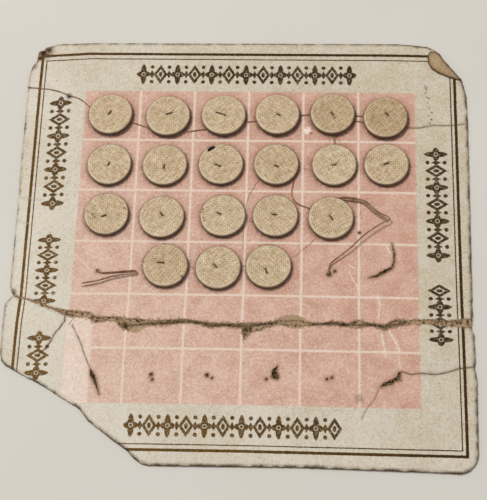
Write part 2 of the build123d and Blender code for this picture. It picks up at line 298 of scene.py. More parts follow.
def makePrint():
    place = startMaterial("agedPrint", 0.8, 0.05)
    x, y = split(uvPlace("print"))[:2]
    wobble = times(minus(grain(place, 1.3), 0.5), 0.4)
    x = plus(x, wobble)
    y = minus(y, wobble)

    broad = grain(place, 0.03, 3)
    cloudy = grain(place, 0.15, 4)
    mottle = grain(place, 0.75, 4, 0.65)
    fine = grain(place, 1.7, 4, 0.7)
    fibres = grain(place, 5.0, 2, 0.6)
    slope = plus(times(x, -0.005), times(y, -0.003))
    faded = plus(slope, spread(broad, 0.35, 0.7, 0.7), clamp=True)  # paler to the lower left
    paper = mixColour(spread(cloudy, 0.35, 0.66), inks["paper"], inks["aged"])
    paper = mixColour(faded, paper, inks["pale"])
    paper = mixColour(spread(mottle, 0.5, 0.75, 0.2), paper, inks["brown"])

    halfWide, halfTall = printLayout["field"]
    field = under(fromRectangle(x, y, -halfWide, halfWide, -halfTall, halfTall), 0.0, 0.5)
    pitch, width = printLayout["gridPitch"], printLayout["gridWidth"]
    lines = strongest(*[times(stripe(calc("PINGPONG", value, pitch / 2), 0.0, width, 0.3),
                              under(absolute(value), 2.5 * pitch, 1.0)) for value in (x, y)])
    pink = mixColour(spread(cloudy, 0.36, 0.66), inks["pink"], inks["rose"])
    # deeper rose round the buttons: paper that faded less there, deepened further as painted shadow
    shade = times(attribute("shade"), spread(mottle, 0.25, 0.65))
    pink = mixColour(shade, pink, inks["deepRose"])
    left, below = printLayout["bleached"]
    bleached = times(under(x, left, 0.8), under(y, below, 1.0))
    pale = plus(times(bleached, 0.4), spread(mottle, 0.45, 0.75, 0.35))
    pale = plus(pale, times(slope, 0.5), clamp=True)
    pink = mixColour(pale, pink, inks["bare"])
    thin = minus(1.0, spread(fine, 0.58, 0.8, 0.5))
    colour = mixColour(times(field, thin), paper, pink)
    colour = mixColour(times(lines, field), colour, inks["grid"])

    rules = []
    for name in ("thickRule", "thinRule"):
        *sides, width = printLayout[name]
        rules.append(stripe(fromRectangle(x, y, *sides), 0.0, width))
    rules = times(strongest(*rules), minus(1.0, spread(mottle, 0.6, 0.8, 0.3)))
    bands = []
    for axis, middle, runs in ornamentBands:
        along, across = (x, y) if axis == "x" else (y, x)
        bands.append(ornamentRow(along, minus(across, middle), runs))
    bands = times(strongest(*bands), minus(1.0, spread(fine, 0.5, 0.75, 0.45)))
    golden = plus(times(x, -0.006), times(y, -0.0035))
    golden = plus(golden, spread(cloudy, 0.3, 0.7, 0.35), clamp=True)
    inkColour = mixColour(golden, inks["dark"], inks["golden"])
    colour = mixColour(strongest(rules, bands), colour, inkColour)
    colour = mixColour(0.32, colour, spread(fine, 0.28, 0.72), "OVERLAY")  # the paper's tooth

    colour = marked(colour, "rub", fine, 0.3, 0.55, inks["bare"], 0.95)
    colour = marked(colour, "wear", fine, 0.25, 0.6, inks["brown"])
    # darkening from grime, and painted shade in the tear, the holes, along edges and round the buttons' feet
    colour = marked(colour, "grimeAndShade", fine, 0.15, 0.45, inks["grimeAndShade"])
    specks = under(grain(place, 0.9, 2, 0.5), 0.27, 0.03)
    colour = mixColour(times(specks, 0.55), colour, inks["brown"])
    return finishMaterial(colour, plus(times(fibres, 0.4), fine), 0.45, 0.00015)


def makeFibre():  # matted fibres where plies are torn away
    place = startMaterial("tornFibre", 0.95, 0.0)
    fine = grain(place, 2.4, 5, 0.75)
    strands = grain(place, 1.0, 4, 0.7, stretch=(0.8, 4.0, 1.0))
    colour = mixColour(spread(fine, 0.3, 0.7), tint(160, 128, 92), tint(222, 198, 166))
    colour = mixColour(spread(strands, 0.45, 0.65, 0.6), colour, tint(118, 86, 52))
    # near black: painted shade in the tear and the holes, and some dark shreds
    colour = marked(colour, "grimeAndShade", fine, 0.1, 0.5, tint(50, 28, 8))
    return finishMaterial(colour, plus(fine, strands), 0.9, 0.0003)


def makeBoard():  # brown pasteboard of the back and the cut edge
    place = startMaterial("brownBoard", 0.88, 0.05)
    cloudy = grain(place, 0.12, 4)
    fine = grain(place, 1.6, 4, 0.7)
    fibres = grain(place, 1.0, 3, 0.6, stretch=(3.0, 0.7, 3.0))
    colour = mixColour(spread(cloudy, 0.35, 0.65), tint(184, 159, 126), tint(162, 136, 103))
    colour = mixColour(spread(fine, 0.4, 0.7, 0.4), colour, tint(206, 186, 154))
    colour = mixColour(spread(fibres, 0.5, 0.68, 0.5), colour, tint(132, 106, 76))
    colour = marked(colour, "wear", fine, 0.2, 0.6, tint(112, 88, 60))
    # darker on the walls and round the flap: grime with painted shade
    colour = mixColour(attribute("grimeAndShade"), colour, tint(46, 31, 18))
    return finishMaterial(colour, plus(fine, fibres), 0.7, 0.00018)


# Card: one closed mesh with the frame's own outline, tears, holes and grooves
sheet = {
    "coarse": 0.9,  # between points on the plain face, in millimetres
    "fine": 0.3,  # at tears, holes and creases
    "backCoarse": 3.0,
    "backFine": 0.22,
    "edgeStep": 0.4,
    "ragged": 0.13,
    "tearDepth": 0.6,
    "plyDepth": 0.2,
    "grooveDepth": 0.5,
    "grooveSlope": 0.35,
    "grooveReach": 0.75,
    "half": 84,  # of the square that the net is laid over
    "field": 61,  # half of the printed field
    "cutCorner": -109,  # x plus y along the missing corner
    "underButton": 8,
}
creases = [  # height, half width, rub and darkening, then the line
    (-0.30, 0.20, 0.0, 1.0, [(-62.0, -27.4), (-62.3, -30.2), (-64.6, -33.6), (-66.2, -36.6), (-67.9, -39.8),
                             (-70.2, -41.8)]),
    (-0.22, 0.18, 0.0, 0.8, [(-59.2, -31.6), (-57.6, -34.6), (-56.2, -37.2), (-55.0, -40.6), (-53.6, -43.8),
                             (-52.4, -46.6)]),
    (-0.25, 0.20, 0.0, 1.0, [(54.6, -47.4), (57.6, -48.4), (61.5, -48.0), (66.0, -48.4), (70.0, -47.6),
                             (74.0, -46.2), (78.8, -45.6)]),
    (-0.15, 0.16, 0.0, 0.6, [(46.8, -53.6), (45.4, -57.2), (43.0, -60.4), (41.0, -64.5)]),
    (-0.22, 0.18, 0.0, 0.9, [(57.2, 45.0), (61.7, 45.0), (66.4, 46.1), (72.4, 45.9), (78.0, 46.6)]),
    (0.08, 0.22, 0.5, 0.2, [(-82.2, 17.4), (-78.5, 17.1), (-73.9, 16.4)]),
    (0.08, 0.22, 0.5, 0.2, [(-82.2, 8.0), (-79.0, 7.4), (-75.9, 6.6)]),
    (0.20, 0.32, 0.9, 0.0, [(46.7, -20.0), (47.3, -24.0), (46.8, -28.0)]),
    (0.20, 0.32, 1.0, 0.0, [(48.0, -34.0), (48.6, -38.0), (49.4, -42.0)]),
    (0.25, 0.42, 1.0, 0.0, [(50.3, -33.0), (52.4, -36.4), (54.0, -40.0)]),
    (0.08, 0.25, 0.8, 0.0, [(36.0, -8.0), (38.5, -9.8)]),
    (0.08, 0.25, 0.8, 0.0, [(36.5, -11.0), (38.0, -14.2), (40.0, -17.0)]),
    (0.10, 0.30, 0.5, 0.0, [(-60.0, -5.0), (-56.5, -8.4), (-53.5, -11.0)]),
    (0.10, 0.30, 0.6, 0.0, [(53.5, -41.0), (54.0, -46.0)]),
    (0.10, 0.35, 0.8, 0.0, [(49.8, -1.5), (51.3, -5.0)]),
]
tearCracks = [
    [(-41.0, -31.4), (-36.0, -30.9), (-30.0, -30.4), (-24.0, -29.8), (-17.0, -30.1), (-11.0, -31.0),
     (-5.0, -30.9), (0.5, -31.4),(5.0, -30.7), (11.0, -30.0)],
    [(24.0, -30.5), (30.3, -30.2), (36.0, -30.7), (43.0, -30.4), (49.0, -31.2), (56.0, -29.4)],
]
barePlies = [(17.8, -29.8, 6.0), (-37.0, -33.4, 2.8)]  # pale torn plies: middle and reach
marks = [  # x, y, radius, wear, rub, darkening
    (40.1, 3.9, 0.75, 0.0, 0.0, 1.0),
    (22.5, 43.0, 0.6, 0.6, 0.0, 0.35),
    (21.2, 44.0, 1.15, 0.0, 2.5, 0.0),
    (40.2, -57.0, 1.5, 0.6, 0.0, 0.15),
    (40.2, -57.0, 0.7, 0.0, 0.3, 0.0),
    (-66.6, 58.4, 1.0, 0.3, 0.0, 1.0),
    # dark spots where the tear gapes deepest: painted shade
    (1.2, -32.6, 1.2, 0.0, 0.0, 0.9),
    (0.9, -34.3, 0.7, 0.0, 0.0, 0.8),
    (-40.8, -31.2, 1.3, 0.0, 0.0, 0.9),
    (-11.0, -31.0, 0.8, 0.0, 0.0, 1.0),
    (30.3, -30.2, 0.8, 0.0, 0.0, 1.0),
    (49.0, -31.6, 0.9, 0.0, 0.0, 1.0),
    (-77.0, 77.2, 3.2, 1.0, 0.0, 0.5),
    (-77.6, 76.6, 1.4, 1.0, 0.0, 1.0),
    (-75.5, 77.9, 1.1, 1.0, 0.0, 0.9),
    (-78.6, 74.4, 1.1, 1.0, 0.0, 0.9),
    (-76.0, 75.6, 0.8, 1.0, 0.0, 0.8),
    (-80.8, 71.0, 1.4, 1.0, 0.0, 0.3),
    (-81.3, -19.2, 1.5, 1.0, 0.0, 0.5),
]
inkSpecks = [  # a trail of small spots down the right margin, with their radius
    (63.6, 62.2, 0.3), (64.0, 61.2, 0.45), (64.3, 60.3, 0.3), (63.9, 59.2, 0.3), (64.2, 57.5, 0.3),
    (65.0, 57.0, 0.4), (64.5, 55.2, 0.25), (65.2, 53.0, 0.3), (66.0, 51.2, 0.4), (65.0, 50.0, 0.25),
    (65.8, 48.4, 0.45),(65.3, 46.9, 0.3),
]
marks += [(x, y, size, 0.0, 0.0, 0.85) for x, y, size in inkSpecks]
crushed = {"place": (-77.4, 76.2), "reach": 4.4, "depth": 0.55}  # the corner that was knocked in
printDrift = {  # how far the print has moved from square along each side
    "left": [(-80, -1.35), (-46, -1.15), (-30, -0.9), (-20, -0.25), (62, 0.3), (76, 0.55)],
    "right": [(-78, 1.0), (-50, 0.65), (-35, 0.4), (-20, 0.05), (64, -0.85), (76, -1.1)],
    "top": [(-80, -0.5), (-76, -0.3), (-68, 0.1), (-60, 0.6), (-20, 0.1), (50, -0.75), (66, -1.2)],
    "bottom": [(-40, 0.5), (0, 0.25), (76, -0.85)],
}
printSpan = {"left": (-78, 153), "bottom": (-76, 151)}  # where the print starts and how far it goes
bakeLayout = {  # shares of the baked picture
    "face": 0.72,
    "back": 0.27,
    "backStart": 0.725,
    "flapFrom": 0.85,
    "flapStart": (0.74, 0.35),
    "flapGrows": 1.6,
    "wallStart": 0.74,
    "wallRow": 0.012,
    "wallTall": 0.008,
}


def drift(near, far, along, across):  # between two opposite sides of the print
    first, last = [float(np.interp(along, *zip(*printDrift[side]))) for side in (near, far)]
    start, span = printSpan[near]
    share = min(max((across - start) / span, 0), 1)
    return first * (1 - share) + last * share


def printPlace(x, y):  # where a point of the face lies on the flat, square print
    return x - drift("left", "right", y, x), y - drift("bottom", "top", x, y)


def levelGroups(upward):  # the frame card's flat faces, by height
    mesh = bmesh.new()
    mesh.from_mesh(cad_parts["card"].data)
    bmesh.ops.remove_doubles(mesh, verts=mesh.verts, dist=1e-7)
    mesh.normal_update()
    groups = {}
    for flat in mesh.faces:
        if flat.normal.z * (1 if upward else -1) > 0.9:
            level = round(flat.calc_center_median().z / mm, 2)
            groups.setdefault(level, []).append([(v.co.x / mm, v.co.y / mm) for v in flat.verts])
    mesh.free()
    return groups


def rimOf(triangles):  # edges that only one triangle of the group has
    seen = {}
    for corners in triangles:
        keys = [(round(x, 3), round(y, 3)) for x, y in corners]
        for start, end in zip(keys, keys[1:] + keys[:1]):
            edge = (min(start, end), max(start, end))
            seen[edge] = seen.get(edge, 0) + 1
    return {edge for edge, count in seen.items() if count == 1 and edge[0] != edge[1]}


def stackOf(groups):
    points = []
    faces = []
    for level, triangles in groups.items():
        for corners in triangles:
            faces.append(tuple(range(len(points), len(points) + 3)))
            points += [(x, y, level) for x, y in corners]
    return BVHTree.FromPolygons(points, faces)


def levelAt(stack, x, y, fromAbove=True):
    start = Vector((x, y, 5 if fromAbove else -5))
    hit = stack.ray_cast(start, Vector((0, 0, -1 if fromAbove else 1)))
    return None if hit[0] is None else round(hit[0].z, 2)


def bothSides(stack, edge, fromAbove=True):  # the levels a little way off each side of an edge's middle
    (x0, y0), (x1, y1) = edge
    length = max(math.dist(*edge), 1e-6)
    acrossX, acrossY = 0.02 * (y0 - y1) / length, 0.02 * (x1 - x0) / length
    middleX, middleY = (x0 + x1) / 2, (y0 + y1) / 2
    return [levelAt(stack, middleX + side * acrossX, middleY + side * acrossY, fromAbove) for side in (1, -1)]


def joinEdges(first, second):  # two sets of edges, each cut where the other's ends lie on it
    ends = np.array(sorted({point for edge in first | second for point in edge}))
    joined = set()
    for start, end in sorted(first) + sorted(second - first):
        run = np.subtract(end, start)
        length = math.dist(start, end)
        along = (ends - start) @ run / length ** 2
        off = np.abs((ends[:, 0] - start[0]) * run[1] - (ends[:, 1] - start[1]) * run[0]) / length
        inside = (off < 0.004) & (along > 0.005 / length) & (along < 1 - 0.005 / length)
        row = [start] + [tuple(ends[i]) for i in np.argsort(along) if inside[i]] + [end]
        joined |= {(min(a, b), max(a, b)) for a, b in zip(row, row[1:])}
    return joined


def stepped(edge, step):  # an edge's ends, and points between them no more than a step apart
    (x0, y0), (x1, y1) = edge
    count = max(1, math.ceil(math.hypot(x1 - x0, y1 - y0) / step))
    return [(x0 + (x1 - x0) * i / count, y0 + (y1 - y0) * i / count) for i in range(count + 1)]


def sampled(edges, step):
    return [point for edge in sorted(edges) for point in stepped(edge, step)]


def nearTree(points):
    tree = KDTree(max(1, len(points)))
    for i, point in enumerate(points):
        tree.insert((point[0], point[1], 0), i)
    tree.balance()
    return tree


def away(tree, x, y):
    found = tree.find((x, y, 0))
    return 1e3 if found[0] is None else found[2]


def cellsNear(points, reach, step):
    cells = set()
    span = math.ceil(reach / step)
    for x, y in points:
        i, j = round(x / step), round(y / step)
        for a in range(-span, span + 1):
            for b in range(-span, span + 1):
                if (a * a + b * b) * step * step <= reach * reach:
                    cells.add((i + a, j + b))
    return cells


def triangulate(walls, coarse, fineCells, fine, levelHere):  # a flat net that keeps the walls as its edges
    points = []
    index = {}
    edges = []
    for edge in sorted(walls):
        row = []
        for x, y in stepped(edge, sheet["edgeStep"] * (0.6 if torn((edge[0][1] + edge[1][1]) / 2) else 1)):
            key = (round(x, 3), round(y, 3))
            if key not in index:
                index[key] = len(points)
                points.append(Vector(key))
            row.append(index[key])
        edges += [(a, b) for a, b in zip(row, row[1:]) if a != b]
    wallTree = nearTree(sampled(walls, 0.12))
    dice = random.Random(4)
    count = int(sheet["half"] / coarse)
    for i in range(-count, count + 1):
        for j in range(-count, count + 1):
            x = (i + 0.5 * (j % 2) + dice.uniform(-0.2, 0.2)) * coarse
            y = (j + dice.uniform(-0.2, 0.2)) * coarse
            if (round(x / fine), round(y / fine)) in fineCells or away(wallTree, x, y) < 0.4 * coarse:
                continue
            if levelHere(x, y) is not None:
                points.append(Vector((x, y)))
    for i, j in sorted(fineCells):
        x = (i + 0.5 * (j % 2) + dice.uniform(-0.25, 0.25)) * fine
        y = (j + dice.uniform(-0.25, 0.25)) * fine
        if away(wallTree, x, y) > 0.45 * fine and levelHere(x, y) is not None:
            points.append(Vector((x, y)))
    found = delaunay_2d_cdt(points, edges, [], 0, 1e-5, False)
    net = []
    for corners in found[2]:
        a, b, c = [found[0][corner] for corner in corners]
        level = levelHere((a.x + b.x + c.x) / 3, (a.y + b.y + c.y) / 3)
        if level is not None:
            turn = (b.x - a.x) * (c.y - a.y) - (b.y - a.y) * (c.x - a.x)
            net.append((tuple(corners) if turn > 0 else tuple(reversed(corners)), level))
    return [(spot.x, spot.y) for spot in found[0]], net


def torn(y):  # 1 along the tear across the card, falling to 0 above and below it
    return max(0.0, 1 - max(0.0, abs(y + 28) - 8) / 3)


def frayed(x, y):  # moves every edge a little, by a field that never folds the net
    shift = noise.noise_vector(Vector((x * 0.85, y * 0.85, 3))) * sheet["ragged"]
    shift += noise.noise_vector(Vector((x * 0.35, y * 0.35, 9))) * 0.3 * torn(y)
    shift += noise.noise_vector(Vector((x * 1.5, y * 1.5, 5))) * 0.22 * torn(y)
    return x + shift.x, y + shift.y


def openEdges(net):  # directed edges with a triangle on one side only
    seen = {(a, b) for corners, level in net for a, b in zip(corners, corners[1:] + corners[:1])}
    return sorted(edge for edge in seen if (edge[1], edge[0]) not in seen)


def closeSheet(spots, net, tops, backSpots, backNet, backs, bulge):
    # Points of a closed sheet, then its faces and what each is: a level, "back" or "wall"
    points = [(*frayed(*spot), z) for spot, z in zip(spots, tops)]
    faces = [corners for corners, level in net]
    kinds = [level for corners, level in net]
    base = len(points)
    points += [(*frayed(*spot), z) for spot, z in zip(backSpots, backs)]
    faces += [tuple(base + c for c in reversed(corners)) for corners, level in backNet]
    kinds += ["back"] * len(backNet)
    rim = openEdges(net)
    outward = {}
    for a, b in rim:
        run = Vector((spots[b][0] - spots[a][0], spots[b][1] - spots[a][1])).normalized()
        for corner in (a, b):
            outward[corner] = outward.get(corner, Vector((0, 0))) + Vector((run.y, -run.x))
    partner = nearTree(backSpots)
    rings = {}
    for corner, push in outward.items():
        x, y, z = points[corner]
        low = base + partner.find((*spots[corner], 0))[1]
        push = push.normalized() if push.length > 0 else push
        rings[corner] = [corner]
        for share in (0.35, 0.7):
            rough = bulge * (0.6 + 1.2 * wave(x, y, share * 4, 1.1))
            rings[corner].append(len(points))
            points.append((x + push.x * rough, y + push.y * rough, z + (points[low][2] - z) * share))
        rings[corner].append(low)
    for a, b in rim:
        for upper, lower in ((0, 1), (1, 2), (2, 3)):
            faces.append((rings[a][lower], rings[b][lower], rings[b][upper], rings[a][upper]))
            kinds.append("wall")
    return points, faces, kinds


def outside(point):  # the holes and slits all lie well inside the printed field
    return max(abs(point[0]), abs(point[1])) > sheet["field"] or point[0] + point[1] < sheet["cutCorner"]


def bakeMap(piece, kinds):
    layer = piece.data.uv_layers.new(name="OFBake")
    printed = piece.data.uv_layers.new(name="print")
    low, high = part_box("card")
    size = max(high.x - low.x, high.y - low.y)
    walked = 0.0
    for flat, kind in zip(piece.data.polygons, kinds):
        corners = [piece.data.vertices[v].co for v in flat.vertices]
        if kind == "wall":
            length = (corners[1] - corners[0]).length / size
            row, start = divmod(walked, 1.0)
            walked += length
        for loop, place in zip(flat.loop_indices, corners):
            u = (place.x - low.x) / size
            v = (place.y - low.y) / size
            if kind == "wall":
                u = start + (length if loop - flat.loop_start in (1, 2) else 0)
                u *= bakeLayout["face"]
                v = bakeLayout["wallStart"] + row * bakeLayout["wallRow"]
                v += place.z / mm * bakeLayout["wallTall"]
            elif kind == "back":
                u = bakeLayout["backStart"] + u * bakeLayout["back"]
                v = v * bakeLayout["back"]
            elif kind == "flap":
                u, v = [begin + (value - bakeLayout["flapFrom"]) * bakeLayout["flapGrows"]
                        for begin, value in zip(bakeLayout["flapStart"], (u, v))]
            else:
                u *= bakeLayout["face"]
                v *= bakeLayout["face"]
            layer.data[loop].uv = (u, v)
            if isinstance(kind, float):
                printed.data[loop].uv = printPlace(place.x / mm, place.y / mm)


def faceHeights(spots, net, trees, lines, plyLevel):
    floorOf = [0.0] * len(spots)
    for corners, level in net:
        for corner in corners:
            floorOf[corner] = max(floorOf[corner], min(level, face))
    lineTree = nearTree(lines)
    tops = []
    looks = []
    for i, (x, y) in enumerate(spots):
        edge, lip, hole = [away(trees[name], x, y) for name in ("edge", "lip", "hole")]
        rough = wave(x, y, 1, 1.7)
        wear = max(0.0, 1 - edge / 1.0) ** 1.3 * (0.75 + 0.9 * wave(x, y, 5, 0.25))
        rub = 0.0
        # a broken dark line along the edges, heavier at the top, bottom, right and cut corner: grime, with
        # painted shade where the edge drops to its wall
        worn = 0.7 if y > 70 or y < -70 or x > 73 or x + y < sheet["cutCorner"] else 0.25
        grimeAndShade = max(0.0, 1 - edge / (0.5 + 0.5 * worn)) * min(1.0, max(0.0, 2.2 * wave(x, y, 13, 0.3) + worn))
        beside = away(trees["button"], x, y) - button["radius"]
        # round each button: less faded paper, with painted shadow
        shade = max(0.0, 1 - max(0.0, beside) / 3.0) * (0.75 + 0.7 * wave(x, y, 8, 0.45))
        z = face
        if floorOf[i] < plyLevel - 0.01:
            ramp = min(1.0, lip / 0.35)
            z -= sheet["tearDepth"] * ramp * (0.62 + 0.45 * wave(x, y, 2, 1.1) + 0.25 * rough)
            # painted shade down in the tear, kept off the pale bare plies
            clean = min(math.dist((x, y), (bareX, bareY)) / reach for bareX, bareY, reach in barePlies)
            grimeAndShade = ramp * min(1.0, clean ** 3) * min(1.0, max(0.0, 0.1 + 2.0 * wave(x, y, 11, 0.9)))
        elif floorOf[i] < face - 0.01:
            z -= sheet["plyDepth"] * min(1.0, away(trees["ply"], x, y) / 0.25) * (0.9 + 0.35 * rough)
        else:
            z -= 0.22 * max(0.0, 1 - edge / 0.6) ** 2
            z += 0.2 * max(0.0, 1 - lip / 0.9) * max(0.0, wave(x, y, 7, 0.6) + 0.35)
            z += 0.03 * wave(x, y, 0, 0.09) - 0.02
            peeled = 0.3 + 1.5 * max(0.0, wave(x, y, 21, 0.9) + 0.1)  # how far the print has come off the lip
            wear = max(wear, min(1.0, 1.6 * max(0.0, 1 - lip / peeled)))
            # painted contact shadow: a dark ring on the card round each button's foot
            grimeAndShade = max(grimeAndShade, 0.6 * max(0.0, 1 - abs(beside - 0.2) / 0.6))
            z += 0.2 * max(0.0, 1 - hole / 0.9) ** 2
            wear = max(wear, max(0.0, 1 - hole / 1.1))
            # painted shade round the holes and slits, as if down inside them
            grimeAndShade = max(grimeAndShade, max(0.0, 1 - hole / 0.38) * (0.55 + 1.3 * wave(x, y, 12, 1.3)))
        crush = max(0.0, 1 - math.dist((x, y), crushed["place"]) / crushed["reach"])
        z -= crushed["depth"] * crush * max(0.0, 0.5 + 1.3 * wave(x, y, 4, 0.9))
        found = lineTree.find((x, y, 0))
        x0, y0, height, half, lineRub, lineGrimeAndShade = lines[found[1]]
        fall = math.exp(-(found[2] / half) ** 2)
        z += height * fall
        rub = max(rub, lineRub * fall)
        # darker along the lines: painted shade in the tear's cracks, darker cores along the creases
        grimeAndShade = max(grimeAndShade, lineGrimeAndShade * fall)
        wear = max(wear, 0.55 * lineGrimeAndShade * math.exp(-(found[2] / half / 2.2) ** 2))
        for markX, markY, size, markWear, markRub, markGrimeAndShade in marks:
            fall = math.hypot(x - markX, y - markY) / size
            if fall < 1.6:
                fall = math.exp(-fall ** 4)
                wear = max(wear, markWear * fall)
                rub = max(rub, markRub * fall)
                grimeAndShade = max(grimeAndShade, markGrimeAndShade * fall)
        tops.append(z)
        looks.append((min(wear, 1.0), rub, min(grimeAndShade, 1.0), shade))
    return tops, looks


def joinedGroups(edges):  # edges that meet end to end, as sets of their ends
    groupOf = {}
    for edge in sorted(edges):
        first, second = [groupOf.setdefault(end, {end}) for end in edge]
        if first is not second:
            first |= second
            groupOf.update({end: first for end in second})
    return list({id(group): group for group in groupOf.values()}.values())


# Torn fibres: strips that stand off every lip, and the lowest ply left in the torn holes
shreds = {"gap": 0.32, "long": (0.35, 1.6), "thick": (0.055, 0.13), "ply": (0.12, 0.5), "tornHole": 2.2}


def lipRuns(edges, stack, wanted):  # each edge with the direction off it towards the wanted level
    runs = []
    for edge in sorted(edges):
        (x0, y0), (x1, y1) = edge
        length = math.dist(*edge)
        for side, level in zip((1, -1), bothSides(stack, edge)):
            if level == wanted and length > 1e-4:
                runs.append((edge, Vector((side * (y0 - y1) / length, side * (x1 - x0) / length))))
    return runs


def makeShreds(runs, material):
    dice = random.Random(9)
    points = []
    faces = []
    dark = []
    for (start, end), inward in runs:
        count = max(1, round(math.dist(start, end) / shreds["gap"]))
        for i in range(count):
            share = (i + dice.random()) / count
            x, y = frayed(start[0] + (end[0] - start[0]) * share, start[1] + (end[1] - start[1]) * share)
            if dice.random() * count > math.dist(start, end) / shreds["gap"]:
                continue
            low, high = shreds["long"]
            length = low + (high - low) * dice.random() ** 2
            back = dice.random() < 0.3  # some lie over the print beside the lip
            ahead = inward * (-0.6 if back else 1.0)
            ahead.rotate(Matrix.Rotation(dice.gauss(0, 1.2), 2))
            curl = Vector((-ahead.y, ahead.x)) * dice.gauss(0, 0.6) * length
            fall = 0.05 if back else dice.uniform(-0.45, 0.12)
            line = []
            for step in range(5):
                part = step / 4
                spot = Vector((x, y)) + ahead * (length * part - 0.15) + curl * part * part
                line.append(Vector((spot.x, spot.y, face - 0.05 + 0.18 * part + (fall - 0.1) * part * part)))
            thick = dice.uniform(*shreds["thick"])
            tube(points, faces, line, [thick, thick * 0.95, thick * 0.8, thick * 0.6, thick * 0.25], 4)
            dark += [0.85 if dice.random() < 0.35 else 0.0] * 20
    piece = addPiece("tornShreds", points, faces, [material])
    paint(piece, "grimeAndShade", dark)
    settle(piece, "card")
    print("shreds:", len(faces), "faces")


def makeLowPly(edges, stack, material):  # what is left of the board's lowest ply in the torn holes
    narrow = []
    wide = []
    for group in joinedGroups(edges):
        spanX = max(x for x, y in group) - min(x for x, y in group)
        spanY = max(y for x, y in group) - min(y for x, y in group)
        ends = [edge for edge in edges if edge[0] in group]
        (wide if max(spanX, spanY) > shreds["tornHole"] else narrow).extend(sampled(ends, 0.1))
    wideTree = nearTree(wide)
    narrowTree = nearTree(narrow)

    def inHole(x, y):
        if min(1.5, away(narrowTree, x, y)) <= away(wideTree, x, y) or levelAt(stack, x, y) is not None:
            return None
        return face

    fineCells = cellsNear(wide[::2], 0.9, sheet["fine"])
    spots, net = triangulate(edges, sheet["coarse"], fineCells, sheet["fine"], inHole)
    low, high = shreds["ply"]
    tops = [high + 0.35 * wave(x, y, 2, 1.1) for x, y in spots]
    used = sorted({corner for corners, level in net for corner in corners})
    number = {corner: i for i, corner in enumerate(used)}
    spots = [spots[corner] for corner in used]
    tops = [tops[corner] for corner in used]
    net = [(tuple(number[corner] for corner in corners), level) for corners, level in net]
    points, faces, kinds = closeSheet(spots, net, tops, spots, net, [low] * len(spots), 0.12)
    piece = addPiece("lowPly", points, faces, [material])
    # painted shade: the low ply is darkened as though deep in its hole
    paint(piece, "grimeAndShade", [min(1.0, max(0.0, 0.85 + 0.9 * wave(x, y, 3, 0.8))) for x, y, z in points])
    settle(piece, "card")
    print("low ply:", len(faces), "faces")


fold = {"start": (77.1, 64.3), "end": (67.6, 76.3), "lift": 0.5, "thick": 0.42}  # the bent corner


def makeFlap(flapFaces):  # the dog-ear: its back shows, thin at the fold and lifted at its free side
    stack = stackOf({face: flapFaces})
    spots, net = triangulate(rimOf(flapFaces), 0.7, set(), 0.3, lambda x, y: levelAt(stack, x, y))
    foldStart = Vector(fold["start"])
    along = (Vector(fold["end"]) - foldStart).normalized()
    rim = nearTree(sampled(rimOf(flapFaces), 0.15))
    tops = []
    backs = []
    for x, y in spots:
        inward = max(0.0, (Vector((x, y)) - foldStart).cross(along) * -1)
        edge = away(rim, x, y)
        lift = 0.05 + fold["lift"] * min(1.0, inward / 9) ** 1.5 + 0.06 * wave(x, y, 3, 0.5)
        low = face + lift - 0.15 * max(0.0, 1 - inward / 1.5)
        tops.append(low + fold["thick"] - 0.2 * max(0.0, 1 - edge / 0.6) ** 2 + 0.05 * wave(x, y, 6, 0.9))
        backs.append(low)
    return closeSheet(spots, net, tops, spots, net, backs, 0.08)


